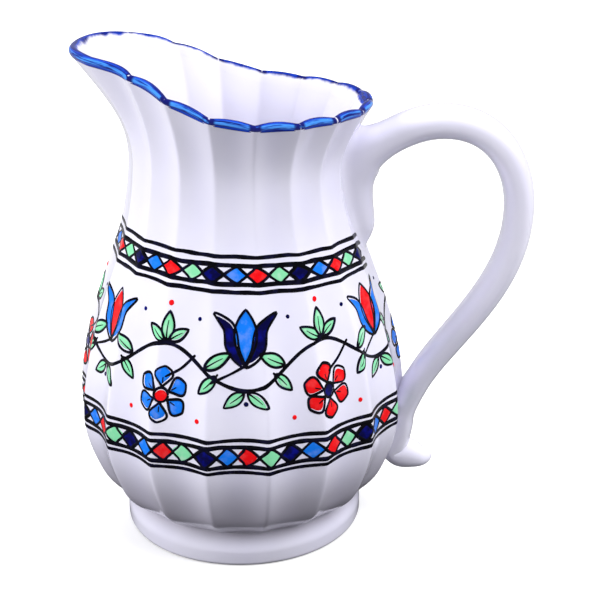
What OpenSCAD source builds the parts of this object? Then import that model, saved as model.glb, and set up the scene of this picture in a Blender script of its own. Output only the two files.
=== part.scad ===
// Fluted earthenware jug. A turned foot carries a fluted belly that narrows to a waist,
// and a short neck flares from the waist to a scalloped rim with a pulled pouring spout.
// A looped strap handle is luted to the neck and the belly, and its lower end curls out.
// The origin is the middle of the flat foot, +Z is up, the spout points to -X and the
// handle to +X.

/* [Foot] */
// Radius of the foot where it stands
foot_r = 55; // [50:0.5:60]
// How much smaller the radius is at the top of the foot, under the belly
foot_taper = 3.5; // [2:0.25:6]
// Height of the foot
foot_h = 16; // [12:0.5:20]
// Radius of the rounding at the foot's standing edge
foot_round = 2; // [1:0.25:3]
// Thickness of the foot's wall at its top
foot_wall_t = 6; // [4:0.25:8]
// Height up to which the side of the foot stands upright
foot_side_h = 6; // [3:0.5:9]
// Depth of the hollow under the foot, and height of the ledge that carries the base
recess_h = 3; // [2:0.25:5]
// Width of the ledge that carries the base
ledge_w = 2.5; // [1.5:0.25:4]

/* [Base] */
// Thickness of the base slab
base_t = 6; // [4:0.5:9]
// Gap of slip between the base slab and the bore of the foot
base_gap = 0.2; // [0.1:0.05:0.4]

/* [Belly] */
// How far the bottom edge of the belly stands out past the top of the foot
skirt_out = 2; // [0.5:0.25:4]
// Height at which the underside of the belly turns upward
turn_z = 33; // [29:0.5:38]
// How much smaller the radius is at that height than at the widest place
turn_in = 6.5; // [3:0.5:9]
// Height of the widest place
belly_z = 59; // [54:0.5:64]
// Largest radius, on the ridges of the flutes
belly_r = 74.5; // [70:0.5:82]
// Thickness of the belly wall
wall_t = 5; // [4:0.25:6.5]

/* [Neck] */
// Height of the rim away from the spout
rim_z = 198; // [190:0.5:204]
// Height of the neck, from its seam with the belly up to that rim
neck_h = 55; // [50:0.5:60]
// Radius at the seam
waist_r = 52.5; // [49:0.5:56]
// Height of the narrowest place above the seam
narrow_h = 27; // [22:0.5:33]
// Smallest radius
neck_r = 47.5; // [45:0.5:51]
// Radius of the rim away from the spout
rim_r = 58; // [54:0.5:62]
// Thickness of the wall at the rim
lip_t = 4; // [3:0.25:5]

/* [Spout] */
// How much farther out than the rim the tip of the spout lies
spout_reach = 13; // [8:0.5:19]
// How much higher than the rim the tip of the spout lies
spout_rise = 22.5; // [10:0.5:28]

/* [Flutes] */
// Number of flutes round the jug
flutes = 18; // [12:2:24]
// Depth of the flutes at the bottom edge of the belly
flute_skirt_depth = 1.2; // [0.5:0.1:2]
// Depth of the flutes on the belly
flute_belly_depth = 3.1; // [1:0.1:4]
// Depth of the flutes at the seam
flute_seam_depth = 0.9; // [0.4:0.1:2]
// Depth of the flutes at the rim
flute_rim_depth = 2.2; // [1:0.1:3]

/* [Handle] */
// How far outside the belly's widest place the middle of the strap lies, at its farthest
handle_out = 47.5; // [38:0.5:58]
// Height of that farthest place above the seam
handle_out_h = 7.5; // [3:0.5:19]
// Height of the middle of the strap at its crown, above the seam
crown_h = 46.5; // [41:0.5:53]
// Distance of the crown outside the narrowest place of the neck
crown_out = 41.5; // [36:0.5:46]
// Width of the strap
strap_w = 24; // [18:0.5:28]
// Thickness of the strap
strap_t = 13; // [9:0.5:15]
// Height above the seam of the middle of the root, where the strap leaves the neck
root_h = 30; // [25:0.5:34]
// Thickness of the clay smeared down the neck under the root
smear_t = 12; // [8:0.5:14]
// How far below the seam the smeared clay runs out
smear_drop = 11.5; // [6:0.5:13]
// Height at which the strap lands on the belly
land_z = 66.5; // [62:0.5:72]
// Thickness of the strap where it lies along the belly
land_t = 9; // [7:0.5:11]
// Height of the middle of the curled end
curl_z = 31.5; // [28:0.5:36]
// How far the curled end stands out from the belly
curl_out = 21; // [16:0.5:26]
// Thickness of the curled end
curl_t = 9.5; // [7:0.5:11]

/* [Enamel] */
// Height of the blue band round the rim
rim_band_h = 4; // [2.5:0.25:6]
// How far the blue band swells past the wall
rim_swell_t = 0.4; // [0.1:0.05:0.8]
// Height of the bottom line of the lower border
low_border_z = 56; // [51:0.5:61]
// Height of the lower border
low_border_h = 14.5; // [10:0.5:18]
// Height of the upper border, whose top line lies on the seam
top_border_h = 13.5; // [10:0.5:16]
// Thickness of the enamel of the borders
enamel_t = 0.3; // [0.2:0.05:0.6]

/* [Hidden] */

// Columns of points in each flute, and the angle by which a ridge is turned off +X
columns_per_flute = 5;
flute_turn = 5;
columns = flutes * columns_per_flute;
full_turn = 360;
spout_angle = 180;

// Heights and radii that follow from the ones above
foot_top_r = foot_r - foot_taper;
skirt_r = foot_top_r + skirt_out;
turn_r = belly_r - turn_in;
seam_z = rim_z - neck_h;
narrow_z = seam_z + narrow_h;
root_z = seam_z + root_h;
crown_z = seam_z + crown_h;
crown_x = neck_r + crown_out;
reach_z = seam_z + handle_out_h;
reach_x = belly_r + handle_out;

// Steepness of the outline at its stations, as radius gained for height gained
skirt_share = 1.5;
turn_share = 0.42;
waist_share = -0.36;
rim_share = 0.62;

// Half angles over which the spout reaches out and rises, and how square its bell is
spout_half_angle = 37;
spout_bell = 3.9;
rise_half_angle = 71.5;
rise_bell = 3.45;
// Heights at which the spout starts to reach out and would stop, as shares of the neck. The
// second lies above the rim, so that the spout still flares where it ends.
spout_start_share = 0.38;
spout_full_share = 1.25;

// Stations of the outline: height, radius on the ridges, steepness
OUTLINE = [
    [foot_h, skirt_r, skirt_share],
    [turn_z, turn_r, turn_share],
    [belly_z, belly_r, 0],
    [seam_z, waist_r, waist_share],
    [narrow_z, neck_r, 0],
    [rim_z, rim_r, rim_share]
];

// Stations of the flutes: height, depth, steepness
FLUTING = [
    [foot_h, flute_skirt_depth, 0],
    [turn_z, flute_belly_depth, 0],
    [belly_z, flute_belly_depth, 0],
    [seam_z, flute_seam_depth, 0],
    [rim_z, flute_rim_depth, 0]
];

// Stations of the wall: height, thickness, steepness
WALLING = [
    [foot_h, wall_t, 0],
    [seam_z, wall_t, 0],
    [rim_z, lip_t, 0]
];

// A cubic through two stations that keeps their steepness
function cubic(a, b, x) =
    let (h = b[0] - a[0], t = (x - a[0]) / h)
    a[1] * (2 * t ^ 3 - 3 * t ^ 2 + 1) + a[2] * h * (t ^ 3 - 2 * t ^ 2 + t)
    + b[1] * (3 * t ^ 2 - 2 * t ^ 3) + b[2] * h * (t ^ 3 - t ^ 2);
function along(list, x, i = 0) =
    i + 2 >= len(list) || x <= list[i + 1][0]
    ? cubic(list[i], list[i + 1], x)
    : along(list, x, i + 1);
function ease(s) = let (c = min(max(s, 0), 1)) c * c * (3 - 2 * c);

// How deep a place lies in its flute: 0 on the ridges and 1 in the middle
function hollow(angle) =
    let (turns = (angle - flute_turn) * flutes / full_turn, u = turns - floor(turns))
    4 * u * (1 - u);

// Angle away from the middle of the spout, and a bell that falls off with it
function off_spout(angle) =
    let (turns = (angle - spout_angle) / full_turn)
    abs(turns - round(turns)) * full_turn;
function bell(angle, half, power) = exp(-pow(off_spout(angle) / half, power));

// Height of the rim at an angle, and place of the neck's wall at a share of its height
function rim_top(angle) = rim_z + spout_rise * bell(angle, rise_half_angle, rise_bell);
function neck_level(angle, t) = seam_z + t * (rim_top(angle) - rim_band_h - seam_z);
function neck_share(angle, z) = (z - seam_z) / (rim_top(angle) - seam_z);
function pull_share(t) = ease((t - spout_start_share) / (spout_full_share - spout_start_share));
function pulled(angle, t) =
    spout_reach * bell(angle, spout_half_angle, spout_bell) * pull_share(t) / pull_share(1);
function fluted(angle, z) =
    along(OUTLINE, z)
    - along(FLUTING, z) * hollow(angle) * (1 - bell(angle, spout_half_angle, rise_bell)
                                               * ease((z - seam_z) / (rim_z - seam_z)));

// Radius of the outside of the jug at an angle and a height
function wall_r(angle, z) =
    z <= seam_z
    ? fluted(angle, z)
    : let (t = neck_share(angle, z)) fluted(angle, seam_z + t * (rim_z - seam_z)) + pulled(angle, t);
function wall_thick(angle, z) =
    z <= seam_z
    ? along(WALLING, z)
    : along(WALLING, seam_z + neck_share(angle, z) * (rim_z - seam_z));

function polar(r, angle, z) = [r * cos(angle), r * sin(angle), z];
function column(i) = flute_turn + full_turn * i / columns;
function ring(z) = [for (i = [0:columns - 1]) let (a = column(i)) polar(wall_r(a, z), a, z)];
function inner_ring(z) =
    [for (i = [0:columns - 1]) let (a = column(i))
        polar(wall_r(a, z) - wall_thick(a, z), a, z)];

// Faces between two loops of points, the second one lying farther along
function strip(low, high, count) =
    [for (i = [0:count - 1]) let (n = (i + 1) % count)
        each [[low + i, high + i, high + n], [low + i, high + n, low + n]]];

// A solid whose loops of points close on themselves, like a ring
module closed_loops(loops) {
    count = len(loops[0]);
    polyhedron(
        points = [for (l = loops) each l],
        faces = [for (j = [0:len(loops) - 1])
            each strip(j * count, ((j + 1) % len(loops)) * count, count)]
    );
}

// A solid whose loops of points run from one flat end to the other
function middle(points) = [for (k = [0:2]) [for (p = points) p[k]] * [for (p = points) 1] / len(points)];
module capped_loops(loops) {
    count = len(loops[0]);
    last = (len(loops) - 1) * count;
    tip = len(loops) * count;
    sides = [for (j = [0:len(loops) - 2]) each strip(j * count, (j + 1) * count, count)];
    ends = [for (i = [0:count - 1]) let (n = (i + 1) % count)
        each [[i, n, tip], [last + n, last + i, tip + 1]]];
    polyhedron(
        points = [each [for (l = loops) each l], middle(loops[0]), middle(loops[len(loops) - 1])],
        faces = [each sides, each ends]
    );
}

// Steps from one height up to just below the next
function steps(from, to, count) = [for (k = [0:count - 1]) from + (to - from) * k / count];

// The foot, turned true, with a ledge inside its bore that carries the base
bore_r = foot_top_r - foot_wall_t;
foot_corner_steps = 4;
foot_side_steps = 6;
foot_smooth = 120;
module foot_ring() {
    corner = [for (k = [0:foot_corner_steps]) let (a = -90 + 90 * k / foot_corner_steps)
        [foot_r - foot_round + foot_round * cos(a), foot_round + foot_round * sin(a)]];
    side = [for (k = [0:foot_side_steps]) let (s = k / foot_side_steps)
        [foot_r + (foot_top_r - foot_r) * ease(s), foot_side_h + (foot_h - foot_side_h) * s]];
    color("whitesmoke") rotate_extrude($fn = foot_smooth) polygon([
        [bore_r - ledge_w, 0], each corner, each side,
        [bore_r, foot_h], [bore_r, recess_h], [bore_r - ledge_w, recess_h]
    ]);
}

// The base slab, dropped into the foot's bore onto the ledge
module base_slab() {
    color("white") translate([0, 0, recess_h])
        cylinder(h = base_t, r = bore_r - base_gap, $fn = foot_smooth);
}

// The belly, on top of the foot, with its flutes inside and out
low_border_top = low_border_z + low_border_h;
top_border_low = seam_z - top_border_h;
module belly_wall() {
    outside = [
        each steps(foot_h, turn_z, 4),
        each steps(turn_z, low_border_z, 2),
        each steps(low_border_z, low_border_top, 2),
        each steps(low_border_top, top_border_low, 5),
        each steps(top_border_low, seam_z, 2),
        seam_z
    ];
    inside = [each steps(seam_z, turn_z, 6), each steps(turn_z, foot_h, 2), foot_h];
    color("white") closed_loops([
        each [for (z = outside) ring(z)],
        each [for (z = inside) inner_ring(z)]
    ]);
}

// The neck with its pulled spout, standing on the belly's upper edge
neck_steps = 10;
neck_inner_steps = 7;
module neck_and_spout() {
    outside = [for (k = [0:neck_steps]) k / neck_steps];
    inside = [for (k = [0:neck_inner_steps]) 1 - k / neck_inner_steps];
    color("white") closed_loops([
        each [for (t = outside) [for (i = [0:columns - 1])
            let (a = column(i), z = neck_level(a, t)) polar(wall_r(a, z), a, z)]],
        each [for (t = inside) [for (i = [0:columns - 1])
            let (a = column(i), z = neck_level(a, t))
            polar(wall_r(a, z) - wall_thick(a, z), a, z)]]
    ]);
}

// The blue rim, a rounded band that caps the neck: how far each corner of its section
// lies inward, as a share of the lip, how much of the swell it has, and its height share
RIM_SHARES = [[0, 0, 0], [0, 1, 0.3], [0, 1, 0.7], [0.25, 0, 1], [0.75, 0, 1], [1, -1, 0.7], [1, 0, 0]];
module blue_rim() {
    color("royalblue") closed_loops([for (s = RIM_SHARES) [for (i = [0:columns - 1])
        let (
            a = column(i),
            z = rim_top(a) - rim_band_h * (1 - s[2]),
            foot_z = rim_top(a) - rim_band_h,
            level = s[2] == 0 ? foot_z : z,
            out = rim_swell_t * s[1] - s[0] * (s[0] == 1 ? wall_thick(a, level) : lip_t)
        )
        polar(wall_r(a, level) + out, a, z)
    ]]);
}

// The middle line of the handle runs in the XZ plane through these stations: the smeared
// clay on the neck, the root, the free strap, its landing and bed on the belly, the curl
STATIONS = ["smear end", "low smear", "smear", "root", "shoulder", "crown", "farthest",
            "landing", "bed", "curl", "tip"];
function named(name) = search([name], STATIONS)[0];
handle_side = 0;
half_w = strap_w / 2;
// Direction of travel at each station, in degrees from +X towards +Z
HEADINGS = [110, 110, 97, 55, 30, 0, -90, -114, -95, -6, 40];
// Half width of the strap at each station, as a share of its half width
WIDTH_SHARES = [0.3, 0.6, 0.85, 1, 1, 1, 1, 0.88, 0.8, 0.74, 0.62];
// Half thickness at each station, as a share of the thickness that rules there
THICKNESSES = [
    smear_t, smear_t, smear_t, strap_t, strap_t, strap_t, strap_t, land_t, land_t, curl_t, curl_t
];
THICKNESS_SHARES = [0.12, 0.66, 0.87, 0.85, 0.55, 0.56, 0.5, 0.62, 0.51, 0.7, 0.5];
// How far the middle line stands out from the wall, as a share of that thickness
STAND_OFF_SHARES = [0, 0.1, 0.1, 0.45, 0, 0, 0, 0.78, 0.28, 0, 0];
// How stiffly the line arrives at each station and leaves it, as a share of the chord
ARRIVAL_SHARES = [1, 1, 1, 1, 1, 1.1, 1.33, 0.84, 0.84, 0.42, 1];
LEAVING_SHARES = [1, 1, 1, 1, 1, 1.2, 1.19, 1.25, 0.95, 1, 1];
// Height of the smear's lower part between its end and the root, and place of the
// shoulder and of the curl's middle, each as a share of the way to the next named place
smear_low_share = 0.28;
shoulder_out_share = 0.42;
shoulder_rise_share = 0.52;
curl_middle_share = 0.35;

smear_end_z = seam_z - smear_drop;
smear_low_z = smear_end_z + (root_z - smear_end_z) * smear_low_share;
root_wall_x = wall_r(handle_side, root_z);
curl_wall_x = wall_r(handle_side, curl_z);
HEIGHTS = [
    smear_end_z, smear_low_z, (smear_low_z + root_z) / 2, root_z,
    root_z + (crown_z - root_z) * shoulder_rise_share,
    crown_z, reach_z, land_z, (land_z + curl_z) / 2, curl_z, curl_z
];
function beside_wall(name) =
    let (k = named(name))
    wall_r(handle_side, HEIGHTS[k]) + THICKNESSES[k] * STAND_OFF_SHARES[k];
DISTANCES = [
    beside_wall("smear end"), beside_wall("low smear"), beside_wall("smear"), beside_wall("root"),
    root_wall_x + (crown_x - root_wall_x) * shoulder_out_share,
    crown_x, reach_x, beside_wall("landing"), beside_wall("bed"),
    curl_wall_x + curl_out * curl_middle_share, curl_wall_x + curl_out
];

// Ends and pulls of the curve that leaves station k, and a place and a direction on it
function heading(k) = [cos(HEADINGS[k]), sin(HEADINGS[k])];
function station(k) = [DISTANCES[k], HEIGHTS[k]];
function pulls(k) =
    let (chord = norm(station(k + 1) - station(k)))
    [heading(k) * chord * LEAVING_SHARES[k], heading(k + 1) * chord * ARRIVAL_SHARES[k + 1]];
function place(k, t) =
    station(k) * (2 * t ^ 3 - 3 * t ^ 2 + 1) + pulls(k)[0] * (t ^ 3 - 2 * t ^ 2 + t)
    + station(k + 1) * (3 * t ^ 2 - 2 * t ^ 3) + pulls(k)[1] * (t ^ 3 - t ^ 2);
function travel(k, t) =
    let (
        d = (station(k) - station(k + 1)) * (6 * t ^ 2 - 6 * t)
            + pulls(k)[0] * (3 * t ^ 2 - 4 * t + 1) + pulls(k)[1] * (3 * t ^ 2 - 2 * t)
    )
    d / norm(d);
function between(list, k, t) = list[k] + (list[k + 1] - list[k]) * t;
HALF_WIDTHS = [for (share = WIDTH_SHARES) half_w * share];
HALF_THICKNESSES = [for (k = [0:len(STATIONS) - 1]) THICKNESSES[k] * THICKNESS_SHARES[k]];

// One section of the strap after station k, rounded between an oval and a box, with every
// point that would lie inside the jug's wall moved out onto it
section_points = 16;
squareness = 2.5;
function rounded(c) = sign(c) * pow(abs(c), 2 / squareness);
function seated(p) =
    let (a = atan2(p[1], p[0]), r = norm([p[0], p[1]]))
    r < wall_r(a, p[2]) ? polar(wall_r(a, p[2]), a, p[2]) : p;
function section(k, t, shrink = 1) =
    let (
        c = place(k, t), d = travel(k, t),
        w = between(HALF_WIDTHS, k, t) * shrink,
        h = between(HALF_THICKNESSES, k, t) * shrink
    )
    [for (i = [0:section_points - 1])
        let (turn = full_turn * i / section_points, n = h * rounded(cos(turn)))
        seated([c[0] + n * d[1], w * rounded(sin(turn)), c[1] - n * d[0]])];

// Sections from a station on, with a count of them for each stretch to the next station
function sections(name, counts) =
    let (k = named(name))
    [
        each [for (m = [0:len(counts) - 1]) each
            [for (j = [0:counts[m] - 1]) section(k + m, j / counts[m])]],
        section(k + len(counts) - 1, 1)
    ];

// The upper root: the end of the strap, pressed onto the neck and smeared down it
module handle_upper_root() {
    color("white") capped_loops(sections("smear end", [4, 3, 5, 3]));
}

// The free loop of the strap
module handle_strap() {
    color("white") capped_loops(sections("shoulder", [5, 10, 14]));
}

// The lower root: the strap laid down the belly, with its curled end rounded off
DOME_SHARES = [0.2, 0.4, 0.6, 0.8, 0.95];
module handle_lower_root() {
    color("white") capped_loops([
        each sections("landing", [5, 7]),
        each [for (s = DOME_SHARES) section(named("curl"), s, sqrt(1 - s * s))]
    ]);
}

// The enamel of a border, one section at each column from high outside round to high inside
function border_section(angle, low, high) =
    let (mid = (low + high) / 2)
    [
        each [for (z = [high, mid, low]) polar(wall_r(angle, z) + enamel_t, angle, z)],
        each [for (z = [low, mid, high]) polar(wall_r(angle, z), angle, z)]
    ];

// The borders, which stop at either side of the handle's roots. The lower one runs round
// the belly and the upper one just under the seam.
function root_columns(radius) = ceil(asin(half_w / radius) / (full_turn / columns));
module border(low, high, radius) {
    beside = root_columns(radius);
    color("midnightblue") capped_loops([for (i = [beside:columns - 1 - beside])
        border_section(column(i), low, high)]);
}
module lower_border() border(low_border_z, low_border_top, belly_r);
module upper_border() border(top_border_low, seam_z, waist_r);

foot_ring();
base_slab();
belly_wall();
neck_and_spout();
blue_rim();
handle_upper_root();
handle_strap();
handle_lower_root();
lower_border();
upper_border();
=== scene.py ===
from math import cos, pi, radians, sin, tau

import bpy
import numpy as np
from bpy.props import FloatProperty, FloatVectorProperty, IntProperty, PointerProperty
from bpy.types import Operator, Panel, PropertyGroup
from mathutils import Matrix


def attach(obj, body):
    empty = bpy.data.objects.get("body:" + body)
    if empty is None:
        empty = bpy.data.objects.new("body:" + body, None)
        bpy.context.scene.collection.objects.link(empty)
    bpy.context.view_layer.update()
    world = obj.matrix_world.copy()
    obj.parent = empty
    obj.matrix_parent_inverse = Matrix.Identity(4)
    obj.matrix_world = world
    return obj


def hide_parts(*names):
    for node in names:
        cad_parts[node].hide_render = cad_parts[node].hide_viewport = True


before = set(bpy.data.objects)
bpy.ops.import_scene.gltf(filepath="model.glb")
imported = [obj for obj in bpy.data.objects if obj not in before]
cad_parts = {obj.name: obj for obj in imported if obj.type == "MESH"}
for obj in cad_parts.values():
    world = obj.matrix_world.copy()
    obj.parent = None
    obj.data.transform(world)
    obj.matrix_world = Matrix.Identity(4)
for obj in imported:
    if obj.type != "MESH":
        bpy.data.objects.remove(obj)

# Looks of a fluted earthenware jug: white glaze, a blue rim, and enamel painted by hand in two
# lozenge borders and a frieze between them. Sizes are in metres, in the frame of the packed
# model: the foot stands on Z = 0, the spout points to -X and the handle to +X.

bl_info = {
    "name": "Fluted Jug",
    "version": (1, 0, 0),
    "blender": (4, 5, 0),
    "location": "3D View > Sidebar > Jug",
    "description": "Builds a fluted, painted earthenware jug around its packed model",
    "category": "Add Mesh",
}


# Sizes and colours that a user may change

def length(name, text, value):
    return FloatProperty(name=name, description=text, default=value, unit="LENGTH", precision=4)


def number(name, text, value):
    return FloatProperty(name=name, description=text, default=value)


def turn(name, text, degrees):
    return FloatProperty(name=name, description=text, default=radians(degrees), subtype="ANGLE")


def tint(name, text, value):
    return FloatVectorProperty(name=name, description=text, default=value, size=4,
                               subtype="COLOR", min=0, max=1)


class JugShape(PropertyGroup):
    """Sizes of the turned and fluted body"""
    foot_radius: length("Foot radius", "Radius of the foot where it stands", 0.055)
    foot_top: length("Foot top radius", "Radius of the top of the foot", 0.0515)
    foot_height: length("Foot height", "Height of the foot", 0.016)
    foot_wall: length("Foot wall", "Thickness of the foot's wall at its top", 0.006)
    foot_side: length("Foot side", "Height up to which the foot's side is upright", 0.006)
    foot_round: length("Foot rounding", "Rounding of the standing edge", 0.002)
    recess: length("Recess", "Depth of the hollow under the foot", 0.003)
    skirt_radius: length("Skirt radius", "Radius of the belly's bottom edge", 0.0535)
    turn_height: length("Turn height", "Height where the belly turns upward", 0.033)
    turn_radius: length("Turn radius", "Radius of the belly at that height", 0.068)
    belly_height: length("Belly height", "Height of the widest place", 0.059)
    belly_radius: length("Belly radius", "Largest radius, on the ridges", 0.0745)
    wall: length("Wall", "Thickness of the belly's wall", 0.005)
    seam_height: length("Seam height", "Height of the seam of belly and neck", 0.143)
    seam_radius: length("Seam radius", "Radius at the seam", 0.0525)
    narrow_height: length("Narrow height", "Height of the neck's narrowest place", 0.17)
    neck_radius: length("Neck radius", "Smallest radius of the neck", 0.0475)
    rim_height: length("Rim height", "Height of the rim away from the spout", 0.198)
    rim_radius: length("Rim radius", "Radius of the rim away from the spout", 0.058)
    lip: length("Lip", "Thickness of the wall at the rim", 0.0034)
    spout_reach: length("Spout reach", "How far the spout reaches past the rim", 0.013)
    spout_rise: length("Spout rise", "How far the spout rises above the rim", 0.0225)
    flutes: IntProperty(name="Flutes", description="Number of flutes round the jug", default=18)
    flute_turn: turn("Flute turn", "Angle of the first ridge from the handle", 5)
    flute_drift: turn("Flute drift", "How far the ridges drift sideways up to the rim", 4.4)
    flute_foot: length("Flute at the foot", "Depth of the flutes at the foot", 0.0012)
    flute_belly: length("Flute on the belly", "Depth of the flutes on the belly", 0.0031)
    flute_seam: length("Flute at the seam", "Depth of the flutes at the seam", 0.0009)
    flute_rim: length("Flute at the rim", "Depth of the flutes at the rim", 0.002)
    crest: number("Crest rounding", "How soft the ridges' crests are", 0.16)


class HandleShape(PropertyGroup):
    """Sizes of the strap handle"""
    width: length("Width", "Width of the strap", 0.024)
    thickness: length("Thickness", "Thickness of the strap", 0.013)
    reach: length("Reach", "Farthest distance of the strap's middle from the axis", 0.122)
    reach_height: length("Reach height", "Height of that place", 0.1507)
    crown: length("Crown distance", "Distance of the crown from the axis", 0.089)
    crown_height: length("Crown height", "Height of the strap's middle at the crown", 0.1895)
    root_height: length("Root height", "Height where the strap leaves the neck", 0.173)
    smear: length("Smear", "Thickness of the clay smeared down the neck", 0.012)
    smear_end: length("Smear end", "Height where the smeared clay runs out", 0.1315)
    land_height: length("Landing height", "Height where the strap lands on the belly", 0.0658)
    land: length("Landing thickness", "Thickness of the strap along the belly", 0.009)
    curl_height: length("Curl height", "Height of the curled end", 0.032)
    curl_out: length("Curl reach", "How far the curled end stands out", 0.0208)
    curl: length("Curl thickness", "Thickness of the curled end", 0.0095)
    fillet: length("Fillet", "Radius of the clay wiped in where the strap meets the wall", 0.005)


class PaintLayout(PropertyGroup):
    """Layout of the painted enamel"""
    enamel: length("Enamel", "Thickness of a painted line", 0.00022)
    low_border: length("Lower border", "Height of the lower border's bottom line", 0.0559)
    low_border_height: length("Lower border's height", "From its bottom line to its top one",
                              0.0146)
    low_lozenge: turn("Lower lozenge", "Angle from lozenge to lozenge in the lower border", 7.4)
    low_line: length("Lower line", "Width of the lower border's lines", 0.0020)
    top_border: length("Upper border", "Height of the upper border's bottom line", 0.1305)
    top_border_height: length("Upper border's height", "From its bottom line to its top one",
                              0.0135)
    top_lozenge: turn("Upper lozenge", "Angle from lozenge to lozenge in the upper border", 9.83)
    top_line: length("Upper line", "Width of the upper border's lines", 0.0019)
    bays: IntProperty(name="Bays", default=6, description="Waves of the vine round the jug")
    bay_turn: turn("Bay turn", "Angle of the vine's first crest", -52)
    vine_height: length("Vine height", "Height of the middle of the vine", 0.1)
    vine_wave: length("Vine wave", "How far the vine swings up and down", 0.0085)
    fine_line: length("Fine line", "Width of the frieze's outlines", 0.0013)
    rim_band: length("Rim band", "Height of the blue under the round of the rim", 0.0012)


class GlazeColours(PropertyGroup):
    """Colours of the glazes and enamels"""
    white: tint("White", "White glaze where it is thin", (0.81, 0.795, 0.93, 1))
    milk: tint("Milk", "White glaze where it is thick", (0.75, 0.735, 0.90, 1))
    clay: tint("Clay", "Bare clay of the standing ring", (0.62, 0.50, 0.38, 1))
    # Painted shade: the dark colour towards which the white glaze turns on the foot and under the
    # belly
    crease: tint("Crease", "White glaze in the crease over the foot", (0.24, 0.21, 0.27, 1))
    blue: tint("Blue", "Blue of the rim", (0.004, 0.05, 0.52, 1))
    # Thin blue: glaze drawn thin on the lip, and also painted highlight on its outer round
    blue_thin_and_highlight: tint("Thin blue", "Blue where the glaze is thin", (0.055, 0.28, 0.82, 1))
    blue_pool: tint("Pooled blue", "Blue where the glaze has run together",
                    (0.001, 0.004, 0.13, 1))
    black: tint("Black", "Painted lines", (0.0005, 0.0004, 0.002, 1))
    navy: tint("Navy", "Dark blue enamel", (0.001, 0.001, 0.045, 1))
    sky: tint("Sky", "Light blue enamel", (0.006, 0.19, 0.86, 1))
    red: tint("Red", "Red enamel", (0.86, 0.004, 0.008, 1))
    mint: tint("Mint", "Green enamel", (0.24, 0.72, 0.40, 1))


class StageSettings(PropertyGroup):
    """Floor, light and camera"""
    floor: tint("Floor", "Colour of the floor", (0.84, 0.84, 0.84, 1))
    bounce: number("Bounce", "Share of its colour with which the floor lights the jug", 0.42)
    near: number("Bounce nearby", "That share beside the jug", 0.08)
    glow: number("Glow", "Light of the floor itself, which keeps its shadows pale", 0.3)
    sky: number("Sky", "Strength of the light from all round", 0.38)
    left: number("Left", "Strength of the low light from the left", 3.0)
    right: number("Right", "Strength of the high light from the right", 1.6)
    front: number("Front", "Strength of the high light from the front", 0.2)
    top: number("Top", "Strength of the light from above", 2.2)
    low: number("Low", "Strength of the lower light from the right", 1.2)
    view_turn: turn("View turn", "Direction in which the camera looks, from +X", 94.2)
    view_tilt: turn("View tilt", "How far the camera looks down", 20.97)
    lens: number("Lens", "Focal length on a 36 mm sensor, in millimetres", 77.08)


# Curves and the wall of the jug

def ease(x):
    """Smooth step: 3x² - 2x³ of x kept between nought and one."""
    x = np.clip(x, 0, 1)
    return x * x * (3 - 2 * x)


def along(stations, x):
    """Piecewise cubic through stations of place, value and slope. Each stretch is the Hermite
    cubic that keeps the values and the slopes at both of its ends."""
    table = np.array(stations, float)
    k = np.clip(np.searchsorted(table[:, 0], x, side="right") - 1, 0, len(table) - 2)
    a, b = table[k], table[k + 1]
    h = b[..., 0] - a[..., 0]
    t = (x - a[..., 0]) / h
    return (a[..., 1] * (2 * t**3 - 3 * t**2 + 1) + a[..., 2] * h * (t**3 - 2 * t**2 + t)
            + b[..., 1] * (3 * t**2 - 2 * t**3) + b[..., 2] * h * (t**3 - t**2))


# Steepness of the outline at its stations
SLOPES = {"skirt": 1.5, "turn": 0.42, "seam": -0.36, "rim": 0.62}
# Half angle and power of the spout's bells, for its reach, its rise and the fading of its
# flutes, and the shares of the way up the neck at which its reach starts and would be full
REACH_BELL = (radians(37), 3.9)
RISE_BELL = (radians(71.5), 3.45)
FLUTE_BELL = (REACH_BELL[0], RISE_BELL[1])
SPOUT_START, SPOUT_FULL = 0.38, 1.25
# Over the handle, from this share of the way up, the neck bulges out by this much at the rim,
# and its flutes are shallower by this share
HANDLE_BELL = (radians(34), 3)
BULGE_START, HANDLE_BULGE, HANDLE_CALM = 0.5, 0.0014, 0.6
# Angle that is added before the sine of the ridges' drift
DRIFT_PHASE = radians(92)


def spout_bell(angle, bell):
    """Bell round the spout: e to the minus (angle off the spout / half angle) ^ power."""
    half, power = bell
    return np.exp(-(np.abs(angle % tau - pi) / half) ** power)


def outline(s, z):
    """Radius of the jug on its ridges at a height."""
    return along([
        (s.foot_height, s.skirt_radius, SLOPES["skirt"]),
        (s.turn_height, s.turn_radius, SLOPES["turn"]),
        (s.belly_height, s.belly_radius, 0),
        (s.seam_height, s.seam_radius, SLOPES["seam"]),
        (s.narrow_height, s.neck_radius, 0),
        (s.rim_height, s.rim_radius, SLOPES["rim"])], z)


def flute_place(s, angle, z):
    """Count of ridges from the first one to an angle; whole numbers are ridges. Towards the
    rim the ridges drift sideways by a sine of the angle."""
    up = ease((z - s.belly_height) / (s.rim_height - s.belly_height))
    drifted = angle + s.flute_drift * up * np.sin(angle + DRIFT_PHASE)
    return (drifted - s.flute_turn) * s.flutes / tau


def hollow(s, place):
    """Share of a flute's depth: the parabola 4u(1 - u) of the share u of the way from ridge to
    ridge, with a hyperbola rounding the crests: the root of (h² + c²), less c, as a share of
    its value at the flute's middle."""
    u = place - np.floor(place)
    h, c = 4 * u * (1 - u), s.crest
    return (np.sqrt(h * h + c * c) - c) / (np.sqrt(1 + c * c) - c)


def rim_top(s, angle):
    """Height of the rim: a level circle, with a bell for the raised spout."""
    return s.rim_height + s.spout_rise * spout_bell(angle, RISE_BELL)


def pulled(share):
    """Share of the spout's reach at a share of the way up the neck. The spout still flares
    where it ends, because the smooth step would only stop above the rim."""
    def step(x):
        return ease((x - SPOUT_START) / (SPOUT_FULL - SPOUT_START))
    return step(share) / step(1)


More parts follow.
